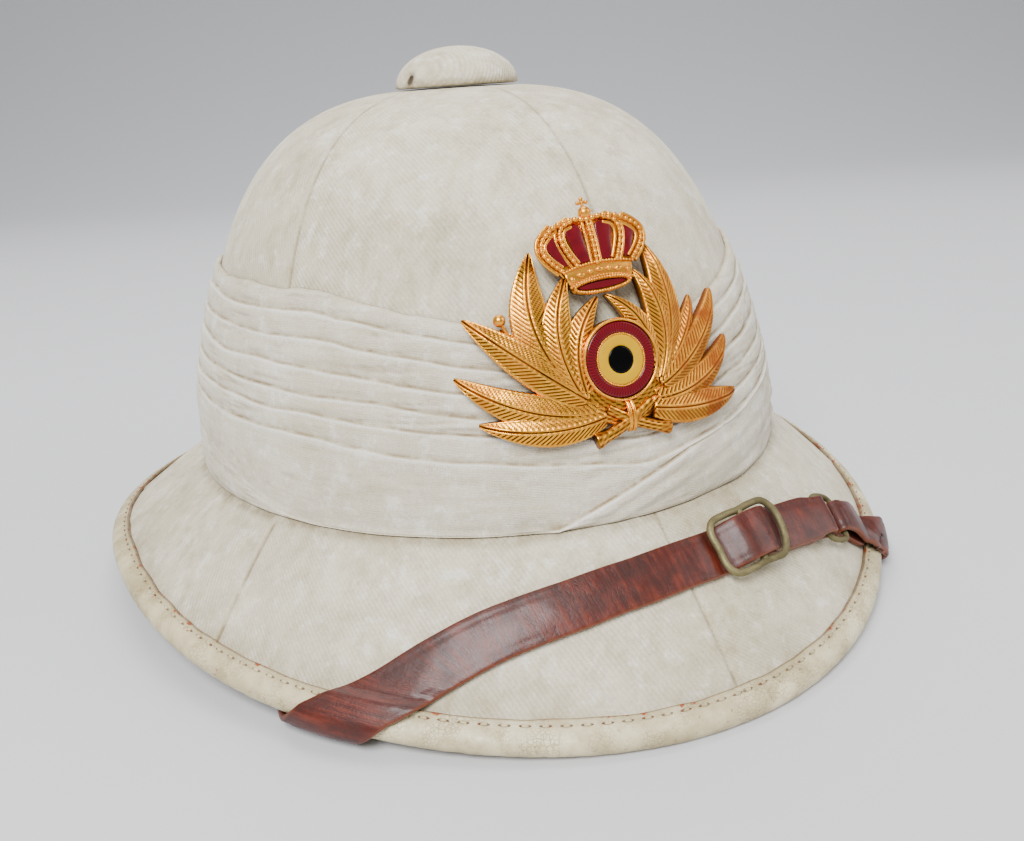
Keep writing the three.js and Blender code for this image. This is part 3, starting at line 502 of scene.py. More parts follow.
class Shade:
    """A material's node tree with a Principled surface."""

    def __init__(self, name: str) -> None:
        """Starts a material with an empty tree."""
        self.material = bpy.data.materials.new(name)
        self.material.use_nodes = True
        self.tree = self.material.node_tree
        self.tree.nodes.clear()
        self.end = self.node("ShaderNodeOutputMaterial")
        self.surface = self.node("ShaderNodeBsdfPrincipled")
        self.tree.links.new(self.surface.outputs[0], self.end.inputs["Surface"])

    def node(
        self,
        kind: str,
        settings: Optional[dict[str, object]] = None,
        inputs: Optional[dict[Union[str, int], Input]] = None,
    ) -> bpy.types.Node:
        """Adds a node.

        Args:
            kind: Its type.
            settings: Its properties, set first.
            inputs: The value or the link of each socket.

        Returns:
            The node.
        """
        made = self.tree.nodes.new(kind)
        for key, setting in (settings or {}).items():
            setattr(made, key, setting)
        for key, given in (inputs or {}).items():
            self.feed(made.inputs[key], given)
        return made

    def feed(self, socket: Socket, given: Input) -> None:
        """Gives a socket its value or its link."""
        if isinstance(given, Value):
            self.tree.links.new(given.socket, socket)
        elif isinstance(given, Socket):
            self.tree.links.new(given, socket)
        else:
            socket.default_value = given

    def set(self, **inputs: Input) -> None:
        """Sets the surface's sockets, whose names have spaces in place of underscores."""
        for key, given in inputs.items():
            self.feed(self.surface.inputs[key.replace("_", " ")], given)

    def place(self) -> Socket:
        """The helmet's own coordinates, in metres."""
        return self.node("ShaderNodeTexCoord").outputs["Object"]

    def weave(self) -> tuple[Value, Value, Socket]:
        """The surface's own coordinates in millimetres: along, up, and both."""
        both = self.node("ShaderNodeUVMap", {"uv_map": "weave"}).outputs[0]
        parts = self.node("ShaderNodeSeparateXYZ", None, {0: both})
        return Value(self, parts.outputs[0]), Value(self, parts.outputs[1]), both

    def mark(self, name: str) -> Value:
        """A vertex mark of the piece."""
        made = self.node("ShaderNodeAttribute", {"attribute_name": name})
        return Value(self, made.outputs["Fac"])

    def across(self) -> Value:
        """The place's first coordinate, in millimetres."""
        parts = self.node("ShaderNodeSeparateXYZ", None, {0: self.place()})
        return Value(self, parts.outputs[0]) * (1 / MM)

    def stretch(self, vector: Socket, scale: Sequence[float]) -> Socket:
        """A vector with its parts multiplied."""
        settings = {"operation": "MULTIPLY"}
        return self.node("ShaderNodeVectorMath", settings, {0: vector, 1: scale}).outputs[0]

    def cloud(
        self,
        size: float,
        detail: float = 2.0,
        rough: float = 0.5,
        vector: Optional[Socket] = None,
        unit: float = 1 / MM,
    ) -> Value:
        """Noise with features of a size in millimetres.

        Args:
            size: Size of its features.
            detail: Count of finer layers.
            rough: Strength of the finer layers.
            vector: Coordinates, or else the helmet's own.
            unit: Millimetres in a unit of the coordinates.

        Returns:
            The noise, about 0.5 on average.
        """
        inputs = {"Scale": unit / size, "Detail": detail, "Roughness": rough}
        inputs["Vector"] = vector or self.place()
        return Value(self, self.node("ShaderNodeTexNoise", None, inputs).outputs[0])

    def cracks(self, size: float, vector: Socket, unit: float = 1 / MM) -> Value:
        """Distance to the nearest of a net of cracks, 0 in a crack."""
        settings = {"feature": "DISTANCE_TO_EDGE"}
        inputs = {"Vector": vector, "Scale": unit / size}
        return Value(self, self.node("ShaderNodeTexVoronoi", settings, inputs).outputs[0])

    def blend(self, low: Input, high: Input, share: Input) -> Socket:
        """A colour between two colours."""
        made = self.node("ShaderNodeMix", {"data_type": "RGBA"})
        for key, given in ((0, share), (6, low), (7, high)):
            self.feed(made.inputs[key], given)
        return made.outputs[2]

    def coats(self, base: Input, *coats: tuple[Input, Input]) -> Socket:
        """A colour with others laid over it, as pairs of colour and cover."""
        for colour, cover in coats:
            base = self.blend(base, colour, cover)
        return base

    def bump(self, height: Value, depth: float) -> None:
        """Raises the surface by a height times a depth in millimetres."""
        inputs = {"Height": height, "Distance": depth * MM, "Strength": 1.0}
        self.set(Normal=self.node("ShaderNodeBump", None, inputs).outputs[0])


@dataclass(frozen=True)
class ClothFinish:
    """Cotton over pith, whitened and stained.

    Attributes:
        name: The material's name.
        clean: Colour of the cloth.
        stain: Colour of its broad stains.
        dirt: Colour of dirt in its seams, also laid on as painted shade in its folds and crevices.
        whitening_and_highlight: Colour of the whitening on its raised places, also laid on as
            painted highlight along the puggaree's fold edges.
        twill: Distance between the ribs of its weave, or 0 for a plain weave.
        stained: Strength of the stains.
        grain: How its brush marks are squeezed along each axis.
        torn: Colour of the painted shade inside a tear.
    """

    name: str
    clean: Colour
    stain: Colour
    dirt: Colour
    whitening_and_highlight: Colour
    twill: float
    stained: float
    grain: Triple
    torn: Colour = tint(0x2A1C10)

    def material(self) -> bpy.types.Material:
        """Makes the material."""
        shade = Shade(self.name)
        along, up, _ = shade.weave()
        soil_and_shade = shade.mark("soil_and_shade")
        broad = shade.cloud(46, 3, 0.6).step(0.4, 0.72)
        patches = shade.cloud(13, 4, 0.62).step(0.42, 0.74)
        specks = shade.cloud(2.2, 3, 0.6).step(0.62, 0.78)
        flaking = shade.cloud(5.5, 5, 0.7).step(0.52, 0.66)
        drawn = shade.stretch(shade.place(), self.grain)
        brushed = shade.cloud(5, 4, 0.65, drawn).step(0.42, 0.7)
        stained = (broad * 0.4 + patches * 0.25 + brushed * 0.35) * self.stained
        held = shade.cloud(9, 4, 0.7).step(0.3, 0.62)
        grit = shade.cloud(0.9, 3, 0.7).step(0.35, 0.65)
        fibre = shade.cloud(0.45, 2, 0.6)
        if self.twill:
            turn = TURN / self.twill
            rib = ((along * 0.82 + up * 0.57) * turn).sine()
            rib = rib * 0.7 + ((along * 0.57 - up * 0.82) * (turn * 1.9)).sine() * 0.3
        else:
            turn = TURN / 0.75
            rib = (along * turn).sine() * 0.35 + (up * turn).sine() * 0.35
        worn = 0.45 + shade.cloud(17, 2).step(0.35, 0.6) * 0.55
        # Marks from 0 to 1 lay dirt and painted shade in the dark colour, marks above 1 lay the
        # painted shade inside the tear, and negative marks lay the painted highlight on fold edges.
        colour = shade.coats(
            self.clean,
            (self.stain, stained),
            (self.whitening_and_highlight, flaking * 0.8 * (1 - stained)),
            (self.dirt, specks * 0.28),
            (self.dirt, (soil_and_shade * (0.2 + held * 0.8)).least(1.0)),
            (self.torn, (soil_and_shade - 1.0).step(0.0, 0.5)),
            (self.whitening_and_highlight, (soil_and_shade * -1.0).step(0.0, 0.6) * 0.85),
            (self.dirt, (1 - grit) * 0.16),
            (self.dirt, (0.12 - rib * 0.12) * worn),
        )
        shade.bump(rib * 0.5 * worn + fibre * 1.2 + shade.cloud(3.4, 3) * 2.2, 0.17)
        shade.set(Base_Color=colour, Roughness=0.93, Specular_IOR_Level=0.25)
        shade.set(Sheen_Weight=0.15, Sheen_Roughness=0.6)
        return shade.material


@dataclass(frozen=True)
class BindingFinish:
    """Whitened leather, crackled and rubbed brown along its inner edge."""

    clean: Colour = tint(0xE0D4AE)
    grime: Colour = tint(0x8C7A4E)
    hide: Colour = tint(0x9A4A1E)
    bare: Colour = tint(0x4E2810)

    def material(self) -> bpy.types.Material:
        """Makes the material."""
        shade = Shade("whitened_leather")
        worn = shade.mark("soil_and_shade")
        place = shade.place()
        blotch = shade.cloud(9, 4, 0.65).step(0.38, 0.72)
        net = shade.cracks(1.1, place)
        patchy = shade.cloud(11, 3).step(0.42, 0.62)
        crack = (1 - (net + shade.cloud(0.6, 3) * 0.12).step(0.05, 0.16)) * patchy
        dusty = shade.cloud(16, 3, 0.6).step(0.4, 0.65)
        specks = shade.cloud(1.3, 3, 0.65).step(0.6, 0.7) * (0.3 + dusty * 0.7)
        chipped = shade.cloud(7, 5, 0.72) + worn * 0.2
        bare = chipped.step(0.72, 0.78)
        colour = shade.coats(
            self.clean,
            (self.grime, blotch * 0.5),
            (self.grime, crack * 0.6),
            (self.grime, dusty * 0.45),
            (self.bare, specks * 0.6),
            (self.grime, worn * 0.55),
            (self.hide, bare),
            (self.bare, chipped.step(0.8, 0.9) * 0.7),
            (self.bare, worn.step(0.8, 1.0) * 0.75),
        )
        shade.bump((1 - crack) * 0.4 + shade.cloud(1.1, 3) * 0.7 - bare * 0.5, 0.2)
        shade.set(Base_Color=colour, Roughness=0.36 + blotch * 0.25, Specular_IOR_Level=0.5)
        return shade.material


@dataclass(frozen=True)
class StrapFinish:
    """Red-brown leather, polished and cracked across."""

    name: str = "strap_leather"
    face: Colour = tint(0x441207)
    bright: Colour = tint(0x6A2612)
    dark: Colour = tint(0x1E0803)
    edge: Colour = tint(0x7C3E20)

    def material(self) -> bpy.types.Material:
        """Makes the material."""
        shade = Shade(self.name)
        along, up, both = shade.weave()
        rubbed = shade.mark("rubbed")
        streak = shade.cloud(1.0, 4, 0.6, shade.stretch(both, (0.12, 0.6, 0.0)), 1.0)
        blotch = shade.cloud(8, 3, 0.6).step(0.35, 0.7)
        net = shade.cracks(1.0, shade.stretch(both, (0.4, 1.1, 0.0)), 1.0)
        crack = (1 - net.step(0.02, 0.12)) * shade.cloud(9, 2).step(0.35, 0.75)
        colour = shade.coats(
            self.face,
            (self.bright, streak.step(0.4, 0.7) * 0.75),
            (self.dark, blotch * 0.6),
            (self.dark, crack * 0.25),
            (self.edge, rubbed * (0.35 + streak * 0.6)),
        )
        shade.bump(streak * 0.9 - crack * 0.3 + shade.cloud(0.8, 2) * 0.4, 0.16)
        shade.set(Base_Color=colour, Roughness=0.3 + streak * 0.3 + blotch * 0.1)
        shade.set(Specular_IOR_Level=0.35, Coat_Weight=0.16, Coat_Roughness=0.16)
        return shade.material


@dataclass(frozen=True)
class MetalFinish:
    """A metal that is dark in its hollows, from patina and painted shade, and bright on its ridges
    as painted highlight.

    Attributes:
        name: The material's name.
        bright: Colour of its raised places, which stands in part for painted highlight.
        hollow_patina_and_shade: Colour of the patina and the painted shade in its hollows.
        tarnish_and_shade: Its tarnished colour, also laid on as painted shade towards the helmet's
            +X side.
        roughness: Roughness of its bright places.
        filmed: Strength of the tarnished patches and of that painted shade.
    """

    name: str
    bright: Colour
    hollow_patina_and_shade: Colour
    tarnish_and_shade: Colour
    roughness: float
    filmed: float

    def material(self) -> bpy.types.Material:
        """Makes the material."""
        shade = Shade(self.name)
        relief = shade.mark("relief")
        across = shade.across()
        # Tarnished patches, plus painted shade that grows towards the helmet's +X side.
        tarnish_and_shade_spread = shade.cloud(6, 4, 0.65).step(0.35, 0.7) + across.step(-8.0, 30.0) * 1.1
        film_and_shade = (tarnish_and_shade_spread * self.filmed).least(1.0)
        grain = shade.cloud(0.5, 3, 0.6)
        # Relief lays the bright colour on ridges as painted highlight and the dark colour in
        # hollows as patina and painted shade.
        lit = relief.step(0.22, 0.72)
        colour = shade.coats(self.hollow_patina_and_shade, (self.bright, lit), (self.tarnish_and_shade, film_and_shade))
        shade.bump(grain + shade.cloud(2.0, 2), 0.05)
        rough = self.roughness + film_and_shade * 0.3 + (1 - relief.step(0.1, 0.8)) * 0.18
        shade.set(Base_Color=colour, Metallic=1.0 - film_and_shade * 0.25, Roughness=rough + grain * 0.06)
        return shade.material


@dataclass(frozen=True)
class EnamelFinish:
    """Glass enamel, with engraved rays under it where it is clear.

    Attributes:
        name: The material's name.
        deep: Its colour.
        lit: Its colour over the metal's ridges.
        rays: Count of rays round a centre, or 0 for plain enamel.
        gloss: Strength of its shine.
    """

    name: str
    deep: Colour
    lit: Colour
    rays: int = 0
    gloss: float = 0.25

    def material(self) -> bpy.types.Material:
        """Makes the material."""
        shade = Shade(self.name)
        along, up, _ = shade.weave()
        cloudy = shade.cloud(2.6, 2, 0.5)
        if self.rays:
            ray = (along * self.rays).sine() * 0.5 + 0.5
            wave = (along * self.rays + up * 4.0).sine() * 0.5 + 0.5
            cloudy = cloudy * 0.2 + ray * 0.45 + wave * 0.35
        colour = shade.blend(self.deep, self.lit, cloudy)
        shade.set(Base_Color=colour, Roughness=0.22 + cloudy * 0.06)
        shade.set(Coat_Weight=self.gloss, Coat_Roughness=0.08, Specular_IOR_Level=self.gloss)
        return shade.material


class Finish(Enum):
    """The helmet's finishes and the slots of the record that they belong to."""

    COVER = "cloth"
    PUGGAREE = "puggaree_cloth"
    BINDING = "binding_leather"
    STRAP = "strap_leather"
    GILT = "gilt_brass"
    WIRE = "hardware_brass"
    RED = "enamel_red"
    GUILLOCHE = "enamel_red rays"
    YELLOW = "enamel_yellow"
    BLACK = "enamel_black"

    @property
    def slot(self) -> str:
        """The record's slot."""
        return self.value.split()[0]


class Wardrobe:
    """Every finish, made once."""

    def __init__(self) -> None:
        """Makes the materials."""
        self.makers = {
            Finish.COVER: ClothFinish(
                "cotton_twill",
                clean=tint(0xE4DCC4),
                stain=tint(0xA89A74),
                dirt=tint(0x7E6E4C),
                whitening_and_highlight=tint(0xF4EFE2),
                twill=1.25,
                stained=0.9,
                grain=(1.0, 1.0, 0.3),
            ),
            Finish.PUGGAREE: ClothFinish(
                "plain_cotton",
                clean=tint(0xE4DECB),
                stain=tint(0xBCAF8C),
                dirt=tint(0x8A7450),
                whitening_and_highlight=tint(0xF6F2E8),
                twill=0.0,
                stained=0.8,
                grain=(0.25, 0.25, 3.0),
            ),
            Finish.BINDING: BindingFinish(),
            Finish.STRAP: StrapFinish(),
            Finish.GILT: MetalFinish(
                "gilt_brass",
                bright=tint(0xFFB53A),
                hollow_patina_and_shade=tint(0x3E1A02),
                tarnish_and_shade=tint(0x9A4E10),
                roughness=0.2,
                filmed=0.5,
            ),
            Finish.WIRE: MetalFinish(
                "brass_wire",
                bright=tint(0x9A9068),
                hollow_patina_and_shade=tint(0x4A432C),
                tarnish_and_shade=tint(0x6B6244),
                roughness=0.42,
                filmed=0.6,
            ),
            Finish.RED: EnamelFinish("red_enamel", tint(0x46000A), tint(0x6C0212)),
            Finish.GUILLOCHE: EnamelFinish("rayed_enamel", tint(0x260005), tint(0x7A0616), rays=72),
            Finish.YELLOW: EnamelFinish(
                "yellow_enamel", tint(0xBE8E00), tint(0xC89A00), gloss=0.08
            ),
            Finish.BLACK: EnamelFinish("black_enamel", tint(0x020202), tint(0x050505), gloss=0.06),
        }
        self.made = {finish: maker.material() for finish, maker in self.makers.items()}

    def __getitem__(self, finish: Finish) -> bpy.types.Material:
        """The material of a finish."""
        return self.made[finish]


# Crown, brim and binding


@dataclass
class CoveredShell:
    """The crown's dome and the brim, covered in twill sewn from gores."""

    form: HelmetForm
    wardrobe: Wardrobe
    per_gore: int = 48
    crown_rows: int = 60
    inner_rows: int = 18
    brim_rows: int = 40
    groove: float = 0.5
    groove_width: float = 0.5
    welt: float = 0.5
    welt_width: float = 1.7
    waviness: float = 0.35
    crown_wave: float = 30.0
    brim_wave: float = 26.0
    inner_soil: float = 0.15
    under_soil: float = 0.2

    def seam_relief(self, phi: float, radius: float) -> Pair:
        """How a seam shapes the cloth near it.

        Args:
            phi: Angle round the helmet.
            radius: Distance from the axis.

        Returns:
            The height that it adds and its dirt.
        """
        away = self.form.seam_distance(phi, radius)
        groove = bell(away, self.groove_width)
        welt = bell(away - self.welt_width, self.welt_width)
        return self.welt * welt - self.groove * groove, 0.7 * groove

    def crown_section(self, phi: float) -> Section:
        """The dome's section at an angle."""
        form = self.form
        foot = form.foot_height(phi) + form.gap
        dome = Section()
        for row in range(self.inner_rows, -1, -1):
            rise = math.sin(row / self.inner_rows * math.pi / 2) ** (2 / form.top_power)
            z = max(foot, form.base_z + (form.height - form.wall) * rise)
            radius = 0.0 if row == self.inner_rows else form.inner_radius(phi, z)
            dome.add(Vector((radius, z)), self.inner_soil)
        for row in range(self.crown_rows + 1):
            rise = math.sin(row / self.crown_rows * math.pi / 2) ** (2 / form.top_power)
            z = max(foot, form.base_z + form.height * rise)
            radius = form.crown_radius(phi, z)
            relief, dirt = self.seam_relief(phi, radius)
            fade = smooth(radius, 6, 30)
            here = form.from_axis(phi, radius, z) / self.crown_wave
            relief = (relief + self.waviness * ripple(*here)) * fade
            # Seam dirt, plus painted shade round the foot of the ventilator button.
            soil_and_shade = dirt * fade + 0.5 * (1 - smooth(radius, 22, 30))
            dome.add(Vector((max(0.0, radius + relief), z)), soil_and_shade)
        dome.points[-1].x = 0.0
        return Section(dome.points[::-1], dome.marks[::-1])

    def brim_section(self, phi: float) -> Section:
        """The brim's section at an angle."""
        form = self.form
        section = form.brim_section(phi)
        end = 1 - (form.gap + form.binding_leather + 0.5) / section.length
        ring = Section([Vector((form.inner_radius(phi, form.base_z), section.foot.y))], [0.1])
        for row in range(self.brim_rows + 1):
            along = end * row / self.brim_rows
            radius = mix(section.foot.x, section.edge.x, along)
            relief, dirt = self.seam_relief(phi, radius)
            here = form.from_axis(phi, radius, 0) / self.brim_wave
            fade = smooth(along, 0, 0.12) * (1 - smooth(along, 0.8, 0.86))
            relief = (relief + self.waviness * ripple(*here)) * fade
            # Painted shadow in the crevice where the brim meets the puggaree.
            join_shadow = 0.6 * (1 - smooth(along * section.length, 0.5, 4))
            # Darker towards the wearer's right side.
            far_side = 0.22 * smooth(signed_degrees(phi), 30, 60)
            rim = 0.3 * smooth(along, 0.55, 0.95)
            soil_and_shade = clamp(dirt + join_shadow + far_side + rim)
            ring.add(form.over_brim(section, along, relief), soil_and_shade)
        for row in range(self.brim_rows // 2, -1, -1):
            along = end * row / (self.brim_rows // 2)
            ring.add(form.over_brim(section, along, -form.wall), self.under_soil)
        first, last = ring.points[0], ring.points[-1]
        inside = Vector((first.x, section.foot.y - form.wall))
        last.y = min(last.y, inside.y)
        ring.add(inside, self.under_soil)
        ring.add(first.copy(), 0.1)
        return ring

    def build(self) -> None:
        """Makes the crown and the brim."""
        angles = gathered_angles(self.form, self.per_gore)
        crown = ring_piece("crown_cover", self.form, angles, self.crown_section)
        crown.finish(self.wardrobe[Finish.COVER], Finish.COVER.slot, "crown")
        brim = ring_piece("brim_cover", self.form, angles, self.brim_section)
        brim.finish(self.wardrobe[Finish.COVER], Finish.COVER.slot, "brim")


@dataclass
class EdgeBinding:
    """The leather channel round the brim, with its line of stitches."""

    form: HelmetForm
    wardrobe: Wardrobe
    columns: int = 720
    thin: float = 1.15
    stitch_pitch: float = 5.4
    stitch_length: float = 3.3
    stitch_thick: float = 0.42
    stitch_in: float = 7.3
    wander: float = 0.45
    wave: float = 9.0
    crumple: float = 0.12
    sunk: float = 0.12

    def section(self, phi: float) -> Section:
        """The channel's section at an angle."""
        form = self.form
        brim = form.brim_section(phi)
        radius = form.nose
        inner = form.wall / 2 + form.gap
        here = form.from_axis(phi, brim.edge.x, 0) / self.wave
        wander = self.wander * ripple(*here)
        width = form.binding_width + wander
        outer_line = [
            (width, inner + self.thin * 0.5, 1.0),
            (width - 0.15, inner + self.thin * 0.9, 1.0),
            (width - 0.7, inner + self.thin, 0.75),
            (self.stitch_in + 0.6, inner + self.thin - 0.02, 0.25),
            (self.stitch_in, inner + self.thin - 0.3, 0.45),
            (self.stitch_in - 0.7, inner + self.thin + 0.04, 0.15),
            (radius + 1.8, radius - 0.22, 0.0),
            (radius + 0.6, radius - 0.05, 0.0),
        ]
        channel = Section()

        def add(distance: float, offset: float, mark: float) -> None:
            """Adds a point by its distance in from the edge and its offset."""
            channel.add(form.nose_point(brim, distance, offset), mark)

        add(width, inner, 1.0)
        for distance, offset, mark in outer_line:
            add(distance, offset, mark)
        crumple = self.crumple * ripple(*(here * 3))
        for k in range(0, 13):
            turn = math.pi * k / 12
            swell = radius + crumple * math.sin(turn)
            add(radius - swell * math.sin(turn), swell * math.cos(turn), 0.18 * math.sin(turn))
        for distance, offset, mark in reversed(outer_line):
            add(distance, -offset, mark * 0.6)
        bottom = form.binding_leather + form.gap * 0.5
        add(width, -inner, 0.5)
        add(bottom, -inner, 0.2)
        add(bottom, inner, 0.2)
        add(width, inner, 1.0)
        for point in channel.points:
            point.y = max(0.0, point.y)
        # Darker towards the wearer's right side.
        right_side_darkening = 0.45 * smooth(signed_degrees(phi), 20, 60)
        marks = [clamp(mark + right_side_darkening * (1 - mark)) * 0.95 for mark in channel.marks]
        return Section(channel.points, marks)

    def build(self) -> None:
        """Makes the binding and its stitches."""
        angles = even_angles(self.columns)
        leather = ring_piece("edge_binding", self.form, angles, self.section)
        leather.finish(self.wardrobe[Finish.BINDING], Finish.BINDING.slot, "brim_binding")
        self.sew()

    def sew(self) -> None:
        """Makes the stitches on the binding's upper flange."""
        form = self.form
        thread = MeshPiece("binding_stitches")
        phi = 0.0
        lift = form.wall / 2 + form.gap + self.thin - self.sunk
        while phi < TURN - 0.02:
            section = form.brim_section(phi)
            step = self.stitch_pitch / section.edge.x
            ends = []
            for turn in (phi, phi + step * self.stitch_length / self.stitch_pitch):
                brim = form.brim_section(turn)
                point = form.nose_point(brim, self.stitch_in, lift)
                ends.append(form.from_axis(turn, point.x, point.y))
            out = form.from_axis(phi, section.up.x, section.up.y) - form.from_axis(phi, 0, 0)
            add_stitch(thread, ends[0], ends[1], out, self.stitch_thick)
            phi += step
        thread.finish(self.wardrobe[Finish.BINDING], Finish.BINDING.slot)


def add_stitch(piece: MeshPiece, start: Vector, end: Vector, out: Vector, thick: float) -> None:
    """Adds one stitch: a bent rod that dips into the leather at both ends.

    Args:
        piece: The mesh that takes it.
        start: One hole.
        end: The other hole.
        out: The way out of the leather.
        thick: Radius of the thread.
    """
    way = (end - start).normalized()
    side = way.cross(out).normalized()
    sides, steps = 6, 5

    def place(column: int, row: int) -> Vector:
        """A point of the thread's skin."""
        t = column / steps
        turn = TURN * row / sides
        centre = start.lerp(end, t) + out * (math.sin(math.pi * t) * 0.4 - 0.25)
        slim = thick * (0.55 + 0.45 * math.sin(math.pi * t))
        return centre + side * (slim * math.cos(turn)) + out * (slim * math.sin(turn))

    soil_and_shade = VertexMark("soil_and_shade", lambda column, row: 1.0 if column in (0, 1, steps - 1, steps) else 0.3)
    piece.sheet(steps, sides, place, None, [soil_and_shade])


# Puggaree


@dataclass(frozen=True)
class Fold:
    """One fold of the puggaree, by the height of its upper edge."""

    side: float
    front: float


@dataclass
class Puggaree:
    """The wrapped band: folds that overlap upwards, and the wrap's end that crosses the front."""

    form: HelmetForm
    wardrobe: Wardrobe
    columns: int = 640
    bottom_stand: float = 5.9
    top_stand: float = 2.1
    step: float = 0.7
    dip_half: float = 52.0
    dip_power: float = 1.25
    crossing_step: float = 1.05
    margin: float = 1.3
    # Strength of the dirt and painted shade in the fold crevices, and of the painted highlight on
    # the fold edges.
    dirt_shade_and_highlight: float = 0.75
    cloth_plan: Pair = (115.0, 100.0)
    wander: tuple[Triple, ...] = ((1.1, 2.2, 3.7), (0.7, 5.5, 4.3), (0.4, 13.0, 5.1))
    folds: tuple[Fold, ...] = (
        Fold(110.5, 92.5),
        Fold(104.5, 88.0),
        Fold(97.5, 82.5),
        Fold(90.0, 77.0),
        Fold(82.4, 72.0),
        Fold(76.8, 68.0),
        Fold(70.6, 60.5),
    )
    wrap_end: tuple[Pair, ...] = (
        (17.0, 42.7),
        (8.0, 50.4),
        (2.0, 55.3),
        (-6.0, 60.5),
        (-10.0, 62.3),
        (-15.0, 63.9),
        (-28.0, 67.6),
        (-36.0, 70.0),
        (-44.0, 70.6),
    )

    def fold_height(self, index: int, phi: float) -> float:
        """Height of a fold's upper edge at an angle."""
        fold = self.folds[index]
        turn = signed_degrees(phi)
        share = clamp(1 - abs(turn) / self.dip_half)
        x, y = math.cos(phi), math.sin(phi)
        wander = sum(
            size * ripple(x * fine, y * fine, index * apart + k)
            for k, (size, fine, apart) in enumerate(self.wander)
        )
        height = mix(fold.side, fold.front, share**self.dip_power)
        if index < len(self.folds) - 1:
            return height + wander
        settled = 1 - smooth(-turn, -4, 8) * (1 - smooth(-turn, 44, 70))
        return max(height + wander * settled, self.end_height(turn) if turn < 0 else 0.0)

    def end_height(self, turn: float) -> float:
        """Height of the wrap's end, which crosses the front, at an angle in degrees."""
        rows = self.wrap_end
        for (start, low), (end, high) in zip(rows, rows[1:]):
            if turn >= end:
                return mix(low, high, (start - turn) / (start - end))
        return rows[-1][1]

    def crossing_height(self, phi: float) -> float:
        """Height of the upper edge of the band's lowest layer."""
        turn = signed_degrees(phi)
        foot = self.form.foot_height(phi)
        last = self.fold_height(len(self.folds) - 1, phi)
        line = clamp(self.end_height(turn), foot + 0.9, last - self.margin)
        return mix(line, (foot + last) / 2, smooth(abs(turn), 50, 90))

    def round_crown(self, phi: float) -> Pair:
        """A place round the crown, for the noise of the cloth."""
        long, wide = self.cloth_plan
        return math.cos(phi) * long, math.sin(phi) * wide

    def wrinkle(self, phi: float, z: float) -> float:
        """Small waves of the cloth, long round the crown and short up it."""
        x, y = self.round_crown(phi)
        wave = 0.34 * ripple(x / 34, y / 34, z / 3.1) + 0.2 * ripple(x / 12, y / 12, z / 1.6 + 9)
        turn = signed_degrees(phi)
        bunch = smooth(-turn, 34, 48) * (1 - smooth(-turn, 70, 95))
        bunch *= smooth(z, 44, 50) * (1 - smooth(z, 62, 69))
        slant = (z - turn * -0.55) * 0.9
        below = smooth(self.end_height(turn) - z, -0.5, 1.5) * smooth(-turn, -14, -4)
        drape = below * 0.8 * ripple((z - self.end_height(turn)) / 2.6, turn / 45, 5)
        wave += drape * (1 - smooth(-turn, 60, 80))
        return wave + bunch * 0.7 * math.sin(slant) - 0.42 * self.crease(phi, z)

    def crease(self, phi: float, z: float) -> float:
        """Fine lines pressed into the cloth, from 0 to 1."""
        x, y = self.round_crown(phi)
        lines = bell(ripple(x / 55, y / 55, z / 2.1 + 40), 0.1)
        return lines * smooth(ripple(x / 21, y / 21, z / 9 + 70), -0.25, 0.3)

    def section(self, phi: float) -> Section:
        """The band's section at an angle."""
        form = self.form
        foot = form.foot_height(phi) + form.gap
        rise = (self.bottom_stand - self.top_stand) / (len(self.folds) - 1)
        band = Section()

        def add(z: float, stand: float, mark: float, soft: float = 1.0) -> None:
            """Adds a point of the outer face."""
            stand += soft * self.wrinkle(phi, z) * 0.8
            point = Vector((form.crown_radius(phi, z) + stand, z))
            # Creases darken the cloth too, with dirt and painted shade.
            band.add(point, clamp(mark + 0.5 * self.crease(phi, z), -1.0))

        def add_back(z: float, mark: float) -> None:
            """Adds a point of the inner face."""
            band.add(Vector((form.crown_radius(phi, z) + form.gap + 0.15, z)), mark)

        def lip(z: float, above: float, step: float, dirt_shade_and_highlight: float) -> None:
            """Adds a fold's rounded edge over the layer above it, with dirt and painted shade in
            the crevice above the edge and painted highlight on the edge.
            """
            add(z + 0.5, above - 0.2, dirt_shade_and_highlight)
            add(z + 0.3, above + 0.1 * step, dirt_shade_and_highlight)
            add(z + 0.12, above + 0.6 * step, 0.25 * dirt_shade_and_highlight)
            add(z - 0.1, above + 0.92 * step, -0.8 * dirt_shade_and_highlight)
            add(z - 0.5, above + step, -0.5 * dirt_shade_and_highlight)

        heights = [self.fold_height(k, phi) for k in range(len(self.folds))]
        crossing = self.crossing_height(phi)
        turn = signed_degrees(phi)
        over = smooth(turn, -12, -5) * (1 - smooth(turn, 14, 17.5))
        levels = [*heights, crossing]
        add_back(heights[0], 0.8)
        for k, z in enumerate(levels):
            crossing_line = k == len(heights)
            above = self.bottom_stand - 0.1 if crossing_line else self.top_stand + rise * (k - 1)
            step = self.crossing_step * over if crossing_line else self.step
            # At the crossing line the same marks give a painted shadow line with a painted
            # highlight on its edge.
            dirt_shade_and_highlight = over if crossing_line else self.dirt_shade_and_highlight
            if k == 0:
                add(z, above + 0.6 * step, 0.2)
                add(z - 0.5, above + step, 0.0)
            else:
                lip(z, above, step, dirt_shade_and_highlight)
            below = levels[k + 1] if k + 1 < len(levels) else foot
            steps = 14 if k >= len(heights) - 1 else 8
            target = above + rise
            if crossing_line:
                target = self.bottom_stand + 0.1
            elif k == len(heights) - 1:
                target = self.bottom_stand - 0.3
            # Each fold darkens a little towards the next crevice below it, as painted shade.
            for j in range(1, steps):
                share = j / steps
                height = mix(z - 0.5, below + 0.6, share)
                belly = 0.35 * math.sin(math.pi * share)
                add(height, mix(above + step, target, share) + belly, 0.12 * share**3)
